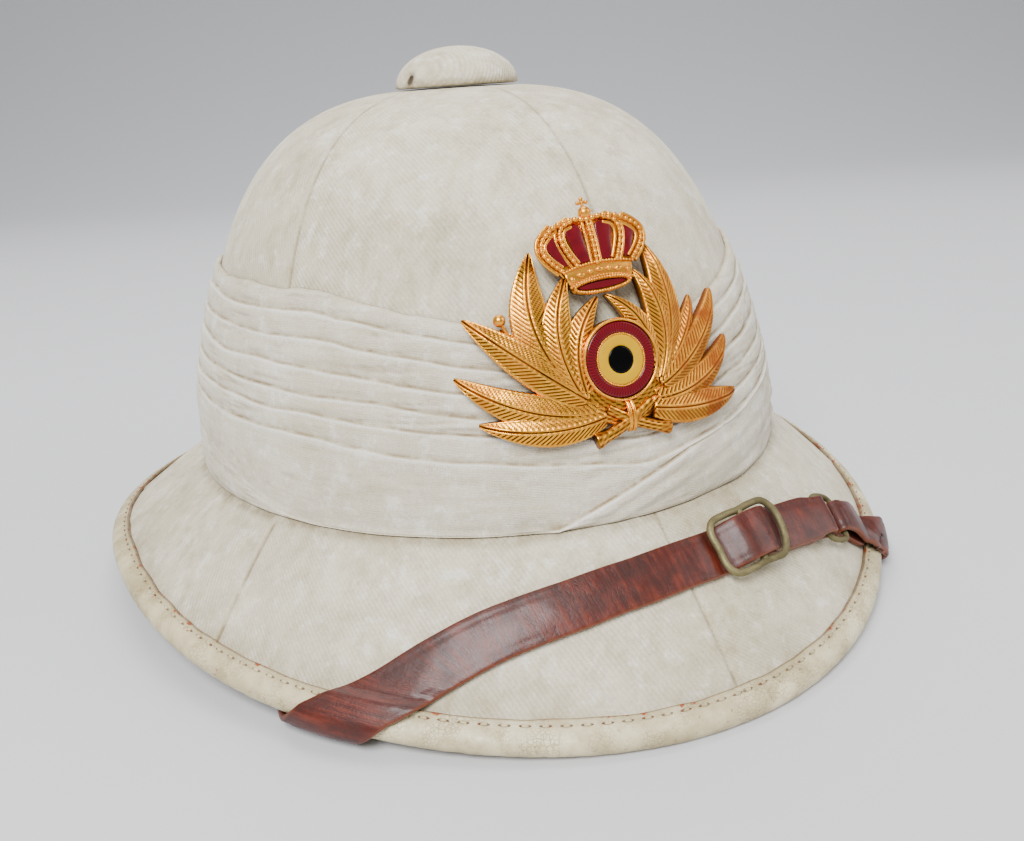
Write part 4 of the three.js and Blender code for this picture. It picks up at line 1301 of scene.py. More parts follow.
        # Dirt and painted shadow in the crevice where the band meets the brim.
        add(foot + 0.45, self.bottom_stand + 0.15, 0.3)
        add(foot + 0.1, self.bottom_stand - 0.25, 0.9, 0.3)
        add(foot, self.bottom_stand - 1.2, 1.0, 0.0)
        for share in (0.0, 0.3, 0.55, 0.8, 1.0):
            add_back(mix(foot, heights[0], share), 0.5)
        band.points[-1] = band.points[0].copy()
        return band

    def build(self) -> None:
        """Makes the band."""
        angles = even_angles(self.columns)
        band = ring_piece("puggaree_band", self.form, angles, self.section)
        band.finish(self.wardrobe[Finish.PUGGAREE], Finish.PUGGAREE.slot, "puggaree")


@dataclass
class VentilatorButton:
    """The cloth-covered cap on the crown, torn a little at its left rim."""

    form: HelmetForm
    wardrobe: Wardrobe
    radius: float = 21.3
    height: float = 13.2
    forward: float = 4.0
    roundness: float = 2.08
    columns: int = 120
    rows: int = 30
    tear_turn: float = math.radians(74)

    def build(self) -> None:
        """Makes the cap."""
        form = self.form
        top = form.base_z + form.height
        under = [(0.0, form.gap), (0.6 * self.radius, form.gap), (self.radius - 1.2, 0.12)]

        def tear(phi: float, share: float) -> float:
            """How deep the torn place is at a point of the cap."""
            away = (phi - self.tear_turn + math.pi) % TURN - math.pi
            return bell(away * self.radius, 2.0) * bell(share - 0.14, 0.09)

        def place(column: int, row: int) -> Vector:
            """A point of the cap's skin."""
            phi = TURN * column / self.columns
            if row < len(under):
                across, up = under[row]
            else:
                share = (row - len(under)) / self.rows
                turn = share * math.pi / 2
                across = self.radius * max(0.0, math.cos(turn)) ** (2 / self.roundness)
                up = mix(0.5, self.height, math.sin(turn))
                dent = 0.3 * ripple(math.cos(phi) * 2.4, math.sin(phi) * 2.4, share * 2)
                across += dent * math.cos(turn) - 1.6 * tear(phi, share)
                across = 0.0 if row == len(under) + self.rows else across
            x, y = -across * math.sin(phi), -across * math.cos(phi)
            return Vector((x, form.centre_y - self.forward + y, top + up))

        def weave(column: int, row: int, face_column: int) -> Pair:
            """Millimetres across the cap."""
            point = place(column, row)
            return (point.x, point.y * 0.6 - point.z)

        def soil_and_shade(column: int, row: int) -> float:
            """Dirt and painted shade at the rim, where the cap meets the crown, and painted shade
            inside the tear.
            """
            phi = TURN * column / self.columns
            share = max(0.0, (row - len(under)) / self.rows)
            return 0.75 * (1 - smooth(share, 0.02, 0.16)) + 2.0 * tear(phi, share)

        cap = MeshPiece("ventilator_cap")
        rows = len(under) + self.rows
        cap.sheet(self.columns, rows, place, weave, [VertexMark("soil_and_shade", soil_and_shade)])
        cap.finish(self.wardrobe[Finish.COVER], Finish.COVER.slot, "ventilator_button")


# Straps and their hardware


def spline(points: Sequence[Vector], closed: bool = False) -> Callable[[float], Vector]:
    """A centripetal Catmull-Rom curve through points.

    Args:
        points: The points that it passes.
        closed: Whether it ends where it starts.

    Returns:
        A function of the share along it, from 0 to 1.
    """
    count = len(points)
    spans = count if closed else count - 1

    def knot(index: int) -> Vector:
        """A point by its index, carried on past the ends."""
        if closed:
            return points[index % count]
        if index < 0:
            return points[0] * 2 - points[1]
        return points[-1] * 2 - points[-2] if index >= count else points[index]

    def at(share: float) -> Vector:
        """The place at a share of the curve."""
        place = share * spans if closed else clamp(share) * spans
        first = math.floor(place) if closed else min(spans - 1, int(place))
        t = place - first
        a, b, c, d = (knot(first + k) for k in (-1, 0, 1, 2))
        near, mid, far = (max(1e-4, (q - p).length ** 0.5) for p, q in ((a, b), (b, c), (c, d)))
        start = ((b - a) / near - (c - a) / (near + mid) + (c - b) / mid) * mid
        end = ((c - b) / mid - (d - b) / (mid + far) + (d - c) / far) * mid
        cubic = (b - c) * 2 + start + end
        square = (c - b) * 3 - start * 2 - end
        return b + start * t + square * t**2 + cubic * t**3

    return at


@dataclass(frozen=True)
class Skin:
    """The surface that the strap lies on, cut at one angle."""

    section: BrimSection
    nose: Vector
    lip: Vector
    way: Vector
    span: float
    under: Vector
    top_turn: float
    under_turn: float


@dataclass
class StrapCourse:
    """The strap's way over the brim, round its edge, under it and up inside the crown.

    A place on it is a run along the course, a side across it and a lift above the skin.
    """

    form: HelmetForm
    lip_seat: float = 1.0
    tab_rise: float = 15.0
    under_angle: float = math.radians(36)
    steps: int = 120
    line: tuple[Pair, ...] = (
        (41, 0.965),
        (36, 0.82),
        (30, 0.63),
        (23, 0.47),
        (15, 0.37),
        (7, 0.31),
        (-1, 0.285),
        (-9, 0.29),
        (-17, 0.345),
        (-25, 0.45),
        (-31, 0.6),
        (-36, 0.8),
        (-40, 0.97),
    )

    def __post_init__(self) -> None:
        """Lays the course and measures it."""
        self.skins: dict[float, Skin] = {}
        self.places = self.lay()
        self.runs = [0.0]
        for here, there in zip(self.places, self.places[1:]):
            step = self.on_skin(there.x, there.y, 0) - self.on_skin(here.x, here.y, 0)
            self.runs.append(self.runs[-1] + step.length)
        self.length = self.runs[-1]

    def skin(self, phi: float) -> Skin:
        """The skin at an angle."""
        if phi in self.skins:
            return self.skins[phi]
        form = self.form
        section = form.brim_section(phi)
        nose = form.nose_point(section, form.nose, 0)
        corner = form.nose - self.lip_seat
        inner = form.inner_radius(phi, form.base_z)
        lip = Vector((inner + corner, section.foot.y - form.wall + corner))
        way = lip - nose
        span = way.length
        way.normalize()
        under = Vector((-way.y, way.x))
        top_turn = math.atan2(section.up.y, section.up.x)
        under_turn = math.atan2(under.y, under.x)
        if under_turn > top_turn:
            under_turn -= TURN
        made = Skin(section, nose, lip, way, span, under, top_turn, under_turn)
        self.skins[phi] = made
        return made

    def on_skin(self, phi: float, past: float, lift: float) -> Vector:
        """A point by its angle, its distance past the brim's edge and its lift."""
        form, s = self.form, self.skin(phi)
        radius = form.nose
        nose_arc = (s.top_turn - s.under_turn) * radius
        lip_arc = (s.under_turn + math.pi) * radius

        def rounded(centre: Vector, turn: float) -> Vector:
            """A point round a corner."""
            return centre + Vector((math.cos(turn), math.sin(turn))) * (radius + lift)

        if past < 0:
            along = 1 - (radius - past) / s.section.length
            bound = smooth(past + form.binding_width, 0.5, 4.5)
            point = form.over_brim(s.section, along, lift + bound * (radius - form.wall / 2))
        elif past < nose_arc:
            point = rounded(s.nose, s.top_turn - past / radius)
        elif past < nose_arc + s.span:
            point = s.nose + s.way * (past - nose_arc) + s.under * (radius + lift)
        elif past < nose_arc + s.span + lip_arc:
            point = rounded(s.lip, s.under_turn - (past - nose_arc - s.span) / radius)
        else:
            rise = past - nose_arc - s.span - lip_arc
            point = Vector((s.lip.x - radius - lift, s.lip.y + rise))
        return form.from_axis(phi, point.x, point.y)

    def skin_length(self, phi: float) -> float:
        """Length of the skin from the edge to the crown's inner wall."""
        s = self.skin(phi)
        return (s.top_turn + math.pi) * self.form.nose + s.span

    def axis_distance(self, phi: float, past: float) -> float:
        """Distance of a place of the skin from the helmet's upright axis."""
        point = self.on_skin(phi, past, 0)
        return math.hypot(point.x, point.y - self.form.centre_y)

    def lay(self) -> list[Vector]:
        """The middle line from one fixing to the other, as angle and distance past the edge."""
        knots = []
        for degrees, along in self.line:
            phi = math.radians(degrees)
            length = self.form.brim_section(phi).length
            knots.append(Vector((phi, self.form.nose - (1 - along) * length, 0.0)))
        curve = spline(knots)
        over = [curve(k / self.steps) for k in range(self.steps + 1)]
        slope = math.tan(self.under_angle)

        def tail(start: Vector, sign: int) -> list[Vector]:
            """The stretch under the brim beyond one end."""
            places = []
            phi, past = start.x, start.y
            while past < self.skin_length(phi) + self.tab_rise:
                phi += sign / slope / self.axis_distance(phi, past)
                past += 1
                places.append(Vector((phi, past, 0.0)))
            return places

        return [*reversed(tail(over[0], 1)), *over, *tail(over[-1], -1)]

    def at(self, run: float) -> Vector:
        """The course's angle and distance past the edge at a run."""
        held = clamp(run, 0, self.length)
        low, high = 1, len(self.runs) - 1
        while low < high:
            middle = (low + high) // 2
            if self.runs[middle] < held:
                low = middle + 1
            else:
                high = middle
        share = (run - self.runs[low - 1]) / (self.runs[low] - self.runs[low - 1])
        return self.places[low - 1].lerp(self.places[low], share)

    def on_strap(self, run: float, side: float, lift: float) -> Vector:
        """A point of the strap by its run, its side and its lift."""
        place, after, before = self.at(run), self.at(run + 1), self.at(run - 1)
        radius = self.axis_distance(place.x, place.y)
        way = Vector(((before.x - after.x) * radius, after.y - before.y)).normalized()
        return self.on_skin(place.x + way.y * side / radius, place.y + way.x * side, lift)

    def lean_at(self, run: float) -> float:
        """How far the cross lines lean where the strap bends over the edge."""
        far = smooth(self.at(run).y, -26, -3)
        sign = 1 if run < self.length / 2 else -1
        return sign * far / math.tan(self.under_angle)

    def run_at(self, degrees: float) -> float:
        """The run at an angle round the helmet."""
        runs = [k / 2 for k in range(int(self.length * 2))]
        return min(runs, key=lambda run: abs(self.at(run).x - math.radians(degrees)))

    def out_at(self, run: float) -> Vector:
        """Unit way out of the skin at a run."""
        return (self.on_strap(run, 0, 1) - self.on_strap(run, 0, 0)).normalized()


@dataclass(frozen=True)
class Station:
    """A cross-section of a strap."""

    run: float
    lift: float
    pitch: float
    lean: bool = False


@dataclass
class StrapSet:
    """The chin strap's two lengths with the slide buckle and the ring that join them."""

    course: StrapCourse
    wardrobe: Wardrobe
    width: float = 14.0
    thick: float = 2.0
    clear: float = 0.5
    corner: float = 0.55
    short_narrow: float = 0.84
    dish: float = 0.18
    crease: float = 0.16
    buckling: float = 0.16
    buckle_degrees: float = -10.2
    buckle_left: float = 12.5
    buckle_right: float = 12.0
    buckle_left_half: float = 8.7
    buckle_right_half: float = 8.7
    buckle_waist: float = 8.4
    buckle_wire: float = 1.08
    buckle_stand: float = 5.2
    buckle_tilt: float = math.radians(5.5)
    pinch: float = 0.16
    pinch_reach: float = 15.0
    ring_beyond: float = 42.5
    ring_wire: float = 0.9
    ring_length: float = 5.2
    ring_width: float = 6.0
    ring_bow: float = 1.2
    ring_stand: float = 3.65

    def __post_init__(self) -> None:
        """Works out the heights at which the strap passes its hardware."""
        self.rest = self.clear + self.thick / 2
        over_wire = self.thick / 2 + self.clear
        self.buckle_run = self.course.run_at(self.buckle_degrees)
        self.ring_run = self.buckle_run + self.ring_beyond - self.ring_length
        self.high = self.ring_stand + self.ring_wire + over_wire
        self.low = self.ring_stand - self.ring_wire - over_wire + 0.15
        self.over_wire = over_wire

    def stand(self, offset: float) -> float:
        """Height of the buckle's bars at an offset from its middle bar."""
        return self.buckle_stand + math.tan(self.buckle_tilt) * offset

    def width_near(self, run: float) -> float:
        """Width of the strap, which is drawn together at the ring."""
        away = abs(run - self.ring_run - self.ring_length)
        drawn = 1 - smooth(away, self.ring_length + self.thick, self.pinch_reach)
        return self.width * (1 - self.pinch * drawn)

    def level(self, start: float, end: float, lift: float, step: float = 1.6) -> list[Station]:
        """Stations of a stretch that lies flat on the skin."""
        count = max(1, round((end - start) / step))
        runs = [mix(start, end, k / count) for k in range(count + 1)]
        return [Station(run, lift, 0.0, True) for run in runs]

    def bent(self, rows: Sequence[Pair], finer: int = 5) -> list[Station]:
        """Stations of a stretch that rises and falls, from pairs of run and lift."""
        curve = spline([Vector((run, lift, 0)) for run, lift in rows])
        count = (len(rows) - 1) * finer
        points = [curve(k / count) for k in range(count + 1)]
        stations = []
        for k, point in enumerate(points):
            before, after = points[max(0, k - 1)], points[min(count, k + 1)]
            pitch = math.atan2(after.y - before.y, after.x - before.x)
            stations.append(Station(point.x, point.y, pitch))
        return stations

    def hairpin(self, run: float, forward: int) -> list[Station]:
        """Half a turn round the ring."""
        centre, radius = (self.high + self.low) / 2, (self.high - self.low) / 2
        stations = []
        for degrees in range(15, 180, 15):
            turn = math.radians(degrees)
            ahead = run + forward * radius * math.sin(turn)
            stations.append(Station(ahead, centre + radius * math.cos(turn), -forward * turn))
        return stations

    def ribbon(
        self, name: str, stations: Sequence[Station], width_at: Callable[[float], float], node: str
    ) -> None:
        """Makes a strap with rounded edges.

        Args:
            name: The piece's name.
            stations: Its cross-sections.
            width_at: Its width at a run.
            node: The solid that it stands for.
        """
        course, half_thick = self.course, self.thick / 2
        faces = 12
        outline: list[Triple] = []
        for k in range(faces + 1):
            share = k / faces * 2 - 1
            outline.append((share, 0.0, half_thick))
        for k in range(1, 6):
            turn = math.pi / 2 - math.pi * k / 6
            outline.append((1.0, math.cos(turn), half_thick * math.sin(turn)))
        for k in range(5):
            outline.append((1 - k / 2, 0.0, -half_thick))
        for k in range(1, 6):
            turn = -math.pi / 2 - math.pi * k / 6
            outline.append((-1.0, math.cos(turn), half_thick * math.sin(turn)))
        outline.append(outline[0])
        lengths = [0.0]
        for here, there in zip(stations, stations[1:]):
            lengths.append(lengths[-1] + math.hypot(there.run - here.run, there.lift - here.lift))

        def across(column: int, row: int) -> Pair:
            """Side and thickness of a point of a cross-section."""
            share, swell, thick = outline[row]
            half = width_at(stations[column].run) / 2 - self.corner
            side = share * half + swell * self.corner
            if thick == half_thick:
                crease = self.crease * bell(abs(side) - half + 1.2, 0.5)
                thick += self.dish * (1 - share**2) - crease
            return side, thick

        def place(column: int, row: int) -> Vector:
            """A point of the strap's skin."""
            station = stations[column]
            side, thick = across(column, row)
            buckled = self.buckling * ripple(station.run / 7, side / 6, 3.0)
            if station.lift > self.rest + 0.1:
                buckled *= 0.3
            run = station.run - math.sin(station.pitch) * thick
            lift = station.lift + math.cos(station.pitch) * thick + buckled
            if station.lean:
                run += course.lean_at(run) * side
            return course.on_strap(run, side, lift)

        def weave(column: int, row: int, face_column: int) -> Pair:
            """Millimetres across and along the leather."""
            return (across(column, row)[0], lengths[column])

        def rubbed(column: int, row: int) -> float:
            """Where the leather's dye is rubbed off its lower edge."""
            side = across(column, row)[0]
            half = width_at(stations[column].run) / 2
            edge = smooth(abs(side), half - 0.7, half - 0.2)
            return edge * (0.95 if side > 0 else 0.4)

        strap = MeshPiece(name)
        strap.sheet(len(stations) - 1, len(outline) - 1, place, weave, [VertexMark("rubbed", rubbed)])
        strap.weld()
        strap.close()
        strap.finish(self.wardrobe[Finish.STRAP], Finish.STRAP.slot, node)

    def wire(
        self,
        name: str,
        points: Sequence[Vector],
        radius: float,
        up: Vector,
        node: str,
        bar: Sequence[Vector] = (),
    ) -> None:
        """Makes a closed loop of round wire, and a bar across it.

        Args:
            name: The piece's name.
            points: Points that the loop passes.
            radius: Radius of the wire.
            up: The way out of the loop's plane.
            node: The solid that it stands for.
            bar: The ends of the bar, or none.
        """
        curve = spline(points, closed=True)
        steps, sides, bar_steps = 144, 14, 16
        loop = MeshPiece(name)

        def around(middle: Vector, way: Vector, row: int, thin: float = 1.0) -> Vector:
            """A point of the wire's skin."""
            out = way.cross(up).normalized()
            over = out.cross(way).normalized()
            turn = TURN * row / sides
            return middle + (out * math.cos(turn) + over * math.sin(turn)) * radius * thin

        def place(column: int, row: int) -> Vector:
            """A point of the loop."""
            share = (column % steps) / steps
            way = (curve(share + 0.002) - curve(share - 0.002)).normalized()
            return around(curve(share), way, row)

        relief = VertexMark("relief", lambda column, row: 0.75 + 0.25 * math.sin(row * 1.7 + column))
        loop.sheet(steps, sides, place, None, [relief])
        if bar:
            way = (bar[1] - bar[0]).normalized()

            def crossing(column: int, row: int) -> Vector:
                """A point of the bar, which swells a little where it joins the loop."""
                share = column / bar_steps
                swell = 1.0 + 0.14 * (2 * share - 1) ** 8
                return around(bar[0].lerp(bar[1], share), way, row, swell)

            loop.sheet(bar_steps, sides, crossing, None, [relief])
            loop.weld()
            loop.close()
        loop.finish(self.wardrobe[Finish.WIRE], Finish.WIRE.slot, node)

    def build(self) -> None:
        """Makes both straps, the buckle and the ring, and gives the studs the wire finish."""
        self.build_long()
        self.build_short()
        self.build_buckle()
        self.build_ring()
        for node in ("stud_right", "stud_left"):
            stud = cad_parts[node]
            repaint(stud, self.wardrobe[Finish.WIRE])
            Finish.WIRE.slot

    def build_long(self) -> None:
        """Makes the long strap, threaded through the buckle and folded round the ring."""
        at, under = self.buckle_run, self.rest
        left, right = at - self.buckle_left, at + self.buckle_right
        upper = under + self.thick + self.course.form.gap
        rows = [
            (left - 12, under),
            (left - 6, under),
            (left + 2, under),
            (left + 6, under + 2.4),
            (at - 3, self.stand(-3) + self.over_wire - 0.2),
            (at + 1.5, self.stand(1.5) + self.over_wire),
            (at + 6, self.stand(0) + 0.9),
            (right - 2, upper),
            (right + 3, upper),
            (right + 9, upper + 0.2),
            (self.ring_run - 8, upper + 0.9),
            (self.ring_run, self.high),
        ]
        turned = self.ring_run
        back = [turned - 2 * k for k in range(1, int((turned - right + 9) / 2))]
        fall = [mix(self.low, under, smooth(turned - run, 0, 6)) for run in back]
        stations = [
            *self.level(0, left - 13, under),
            *self.bent(rows),
            *self.hairpin(turned, 1),
            Station(turned, self.low, -math.pi),
            *(Station(run, lift, -math.pi) for run, lift in zip(back, fall)),
        ]
        self.ribbon("chin_strap_long", stations, self.width_near, "chin_strap")

    def build_short(self) -> None:
        """Makes the short strap, pinched where it passes the ring."""
        start = self.ring_run + 2 * self.ring_length
        upper = self.rest + self.thick
        rows = [
            (start, self.high),
            (start + 6, self.high - 0.3),
            (start + 13, upper + 0.6),
            (start + 21, self.rest),
            (start + 27, self.rest),
        ]
        stations = [
            *(Station(start + k, self.low, math.pi) for k in (13, 11, 9, 7, 5, 3, 1, 0)),
            *reversed(self.hairpin(start, -1)),
            *self.bent(rows),
            *self.level(start + 28, self.course.length, self.rest),
        ]

        def width_at(run: float) -> float:
            """Width of the strap, which stays narrow for a while past the ring."""
            return self.width_near(run) * mix(self.short_narrow, 1, smooth(run - start, 2, 26))

        self.ribbon("chin_strap_short", stations, width_at, "strap_short")

    def loop_points(
        self, half: Sequence[Pair], lift: Callable[[float], float], middle: float
    ) -> list[Vector]:
        """Points of a loop from its half on one side.

        Args:
            half: Pairs of run and side, from one end to the other.
            lift: Its lift at a run.
            middle: The run of its middle.

        Returns:
            The points all round.
        """
        rows = [*half, *((run, -side) for run, side in reversed(half[1:-1]))]
        return [self.course.on_strap(middle + run, side, lift(run)) for run, side in rows]

    def build_buckle(self) -> None:
        """Makes the slide buckle, square at one end and round at the other."""
        left, right = self.buckle_left, self.buckle_right
        half = [
            (-left, 0.0),
            (-left, self.buckle_left_half * 0.6),
            (-left + 2, self.buckle_left_half * 0.93),
            (-left * 0.4, self.buckle_left_half),
            (0.0, self.buckle_waist),
            (right * 0.35, self.buckle_right_half),
            (right * 0.72, self.buckle_right_half * 0.96),
            (right * 0.94, self.buckle_right_half * 0.58),
            (right, 0.0),
        ]
        points = self.loop_points(half, self.stand, self.buckle_run)
        ends = (-self.buckle_waist, self.buckle_waist)
        bar = [self.course.on_strap(self.buckle_run, side, self.stand(0)) for side in ends]
        up = self.course.out_at(self.buckle_run)
        self.wire("slide_buckle", points, self.buckle_wire, up, "buckle", bar)

    def build_ring(self) -> None:
        """Makes the oblong ring."""
        length, width = self.ring_length, self.ring_width
        half = [
            (-length, 0.0),
            (-length, width),
            (-length + 2, width + self.ring_bow),
            (length - 2, width + self.ring_bow),
            (length, width),
            (length, 0.0),
        ]
        middle = self.ring_run + length
        points = self.loop_points(half, lambda run: self.ring_stand, middle)
        self.wire("oblong_ring", points, self.ring_wire, self.course.out_at(middle), "strap_ring")


def repaint(piece: bpy.types.Object, material: bpy.types.Material) -> None:
    """Gives every material slot of an object one material."""
    for slot in piece.material_slots:
        slot.material = material


# Badge


@dataclass(frozen=True)
class Leaf:
    """A leaf of the wreath, seen from the front.

    Attributes:
        tip: Its tip, across and up.
        root: Its root, across and up.
        wide: Its greatest width.
        bow: How far its midrib bends out of line.
        lift: How far it lies above the badge's plate.
    """

    tip: Pair
    root: Pair
    wide: float
    bow: float
    lift: float


LEAVES = (
    Leaf((-23.0, 118.1), (-20.5, 84.0), 10.6, 5.0, 0.5),
    Leaf((-15.6, 111.4), (-18.5, 82.0), 8.6, 4.2, 0.9),
    Leaf((-8.4, 105.5), (-17.0, 82.0), 7.4, 3.8, 0.7),
    Leaf((-42.5, 102.5), (-17.0, 80.0), 10.0, 0.5, 0.8),
    Leaf((-34.3, 99.7), (-21.0, 84.0), 5.8, 0.8, 0.1),
    Leaf((-46.8, 87.8), (-15.0, 76.0), 9.8, 3.2, 0.5),
    Leaf((-42.9, 75.8), (-13.0, 75.0), 8.6, 2.2, 0.9),
    Leaf((9.2, 118.2), (5.0, 83.0), 9.2, -4.6, 0.5),
    Leaf((4.0, 110.8), (4.0, 82.5), 8.2, -4.2, 0.9),
    Leaf((-6.0, 105.7), (3.5, 83.0), 6.8, -3.8, 0.7),
    Leaf((21.9, 101.2), (7.0, 84.0), 5.6, -1.0, 0.1),
    Leaf((30.8, 101.1), (4.5, 80.5), 8.2, -2.6, 0.8),
    Leaf((32.8, 87.6), (3.0, 77.0), 8.4, -3.4, 0.5),
    Leaf((32.4, 72.3), (1.0, 75.0), 9.0, -1.4, 0.9),
)

CELLS = {
    "enamel_cell_1": (-9.3, 6.6, -12.4, 15.2, 1.3, 2.3),
    "enamel_cell_2": (-3.2, 6.6, -4.9, 17.6, 1.7, 2.7),
    "enamel_cell_3": (3.3, 6.6, 4.9, 17.6, 1.7, 2.7),
    "enamel_cell_4": (9.3, 6.6, 12.2, 15.0, 1.3, 2.3),
}


@dataclass
class BadgeFace:
    """The surface over the front of the crown that the badge follows."""

    form: HelmetForm
    centre_x: float = -6.3
    low_z: float = 68.0
    high_z: float = 131.0
    low_stand: float = 5.8
    high_stand: float = 1.0

    def crown_face(self, x: float, z: float) -> Vector:
        """The crown's front at a place seen from the front."""
        form = self.form
        taper = form.crown_taper(z - form.base_z)
        y = form.half_length * math.sqrt(max(0.0, taper**2 - (x / form.half_width) ** 2))
        return Vector((x, form.centre_y - y, z))

    def normal(self, x: float, z: float) -> Vector:
        """Unit way out of the crown."""
        across = self.crown_face(x + 0.5, z) - self.crown_face(x - 0.5, z)
        rise = self.crown_face(x, z + 0.5) - self.crown_face(x, z - 0.5)
        return across.cross(rise).normalized()

    def at(self, x: float, z: float, height: float) -> Vector:
        """A point of the badge at a height over its back."""
        stand = mix(self.low_stand, self.high_stand, (z - self.low_z) / (self.high_z - self.low_z))
        return self.crown_face(x, z) + self.normal(x, z) * (stand + height)

    def plane(self, x: float, z: float, tilt: float = 0.0) -> Matrix:
        """A frame that lies flat on the badge's back, turned by a tilt in degrees."""
        normal = self.normal(x, z)
        across = normal.cross(Vector((0, 0, 1))).normalized()
        across.rotate(Quaternion(normal, math.radians(tilt)))
        if across.x < 0:
            across.negate()
        rise = normal.cross(across)
        turned = Matrix((across, rise, normal)).transposed().to_4x4()
        return Matrix.Translation(self.at(x, z, 0)) @ turned


@dataclass
class Badge:
    """The gilt badge: a wreath of leaves tied below an enamelled roundel, with a crown above."""

    form: HelmetForm
    wardrobe: Wardrobe
    plate: float = 1.1
    roundel_z: float = 88.8
    crown_z: float = 108.2
    crown_tilt: float = 3.0
    relief: float = 1.1
    vein_pitch: float = 1.3
    vein_slant: float = 1.15
    strand_radius: float = 0.6
    tie_low: float = 69.9
    tie_high: float = 78.5
    tie_arch: float = 3.2
    heel_inner: float = 9.0
    heel_outer: float = 16.8
    heel_oval: float = 1.2
    berry_radius: float = 1.75
    rim: float = 11.4
    rim_beads: int = 150
    well: float = 10.45
    red_ring: Pair = (10.4, 7.4)
    inner_beads: int = 76
    fillet: Pair = (7.35, 6.95)
    yellow_ring: Pair = (6.9, 3.85)
    black_radius: float = 3.8
    orb_radius: float = 1.85
    orb_height: float = 20.2

    def __post_init__(self) -> None:
        """Starts the gilt metal's mesh."""
        self.face = BadgeFace(self.form)
        self.gilt = MeshPiece("badge_metal")
        self.round_frame = self.face.plane(self.face.centre_x, self.roundel_z)
        self.crown_frame = self.face.plane(self.face.centre_x, self.crown_z, self.crown_tilt)
        self.crown_out = self.crown_frame.to_3x3() @ Vector((0, 0, 1))

    def build(self) -> None:
        """Makes the badge and its enamel."""
        for leaf in LEAVES:
            self.add_leaf(leaf)
        self.add_stems()
        self.add_tie()
        self.add_heel()
        self.add_berry()
        self.add_roundel()
        self.add_crown()
        self.gilt.weld()
        self.gilt.close()
        gilt = self.wardrobe[Finish.GILT]
        self.gilt.finish(gilt, Finish.GILT.slot, "badge")
        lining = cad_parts["enamel_foot"]
        repaint(lining, self.wardrobe[Finish.RED])
        Finish.RED.slot

    def add_leaf(self, leaf: Leaf) -> None:
        """Adds a leaf with a grooved midrib, slanting veins and a raised rim."""
        tip, root = Vector(leaf.tip), Vector(leaf.root)
        way = tip - root
        side_way = Vector((-way.y, way.x)).normalized()
        long, wide = 84, 26
        length = way.length

        def half_at(share: float) -> float:
            """Half the leaf's width at a share of its length."""
            reach = mix(0.12, 0.99, share) ** 0.85
            return max(0.22, leaf.wide / 2 * math.sin(math.pi * reach) ** 0.72)

        def shape(share: float, u: float) -> Pair:
            """Height of the leaf's top and its relief mark at a share and a side."""
            half = half_at(share)
            rim = bell(abs(u) - 0.92, 0.07) * 0.3
            middle = abs(u) * half
            groove = bell(middle, 0.2)
            rib = 0.3 * bell(middle - 0.5, 0.28)
            run = share * length - middle * self.vein_slant
            vein = math.sin(run / self.vein_pitch * TURN)
            inside = smooth(middle, 0.5, 0.9) * (1 - smooth(abs(u), 0.8, 0.9))
            veins = 0.2 * vein * inside
            dome = (1 - abs(u) ** 1.6) * min(1.3, half * 0.5)
            edge = 1 - smooth(abs(u), 0.94, 1.0) * 0.5
            high = (dome + rim + rib + veins - 0.42 * groove + 0.3) * edge
            mark = 0.5 + rim * 1.3 + rib * 0.8 + veins * 1.9 - 0.55 * groove
            return high, clamp(mark)

        def section(row: int) -> tuple[float, bool]:
            """The side of a point of the closed section, and whether it lies on top."""
            if row in (0, wide + 2, wide + 3):
                return (-1.0 if row != wide + 2 else 1.0), False
            return (row - 1) / wide * 2 - 1, True

        def place(column: int, row: int) -> Vector:
            """A point of the leaf."""
            share = column / long
            u, top = section(row)
            half = half_at(share)
            bowed = leaf.bow * 4 * share * (1 - share)
            notch = math.sin(share * length / self.vein_pitch * TURN)
            serrated = 1 + 0.02 * notch * smooth(abs(u), 0.8, 1)
            spot = root + way * share + side_way * (bowed + u * half * serrated)
            base = self.plate + leaf.lift - 0.5 * smooth(share, 0.8, 1)
            height = base + shape(share, u)[0] * min(1.0, half) if top else 0.0
            return self.face.at(spot.x, spot.y, height)

        def relief(column: int, row: int) -> float:
            """Relief of a point of the leaf."""
            u, top = section(row)
            return shape(column / long, u)[1] if top else 0.05

        self.gilt.sheet(long, wide + 3, place, None, [VertexMark("relief", relief)])

    def add_rod(
        self,
        path: Callable[[float], Vector],
        radius: Callable[[float, float], float],
        steps: int,
        sides: int,
        out: Vector,
        relief: Callable[[float, float], float] = lambda share, turn: 0.6,
    ) -> None:
        """Adds a rod of gilt metal.

        Args:
            path: Its middle line.
            radius: Its radius at a share of its length and a turn.
            steps: Count of steps along it.
            sides: Count of steps round it.
            out: The way out of the badge.
            relief: Its relief mark at a share and a turn.
        """

        def place(column: int, row: int) -> Vector:
            """A point of the rod."""
            share, turn = column / steps, TURN * (row % sides) / sides
            way = (path(min(1, share + 0.01)) - path(max(0, share - 0.01))).normalized()
            side = way.cross(out).normalized()
            over = side.cross(way)
            arm = side * math.cos(turn) + over * math.sin(turn)
            return path(share) + arm * radius(share, turn)

        def mark(column: int, row: int) -> float:
            """Relief of a point of the rod."""
            return relief(column / steps, TURN * (row % sides) / sides)

        self.gilt.sheet(steps, sides, place, None, [VertexMark("relief", mark)])

    def add_bar(self, start: Vector, end: Vector, radius: float, steps: int, out: Vector) -> None:
        """Adds a straight rod of gilt metal.

        Args:
            start: One end.
            end: The other end.
            radius: Its radius.
            steps: Count of steps along it.
            out: The way out of the badge.
        """
        self.add_rod(
            lambda share: start.lerp(end, share), lambda share, turn: radius, steps, 10, out
        )

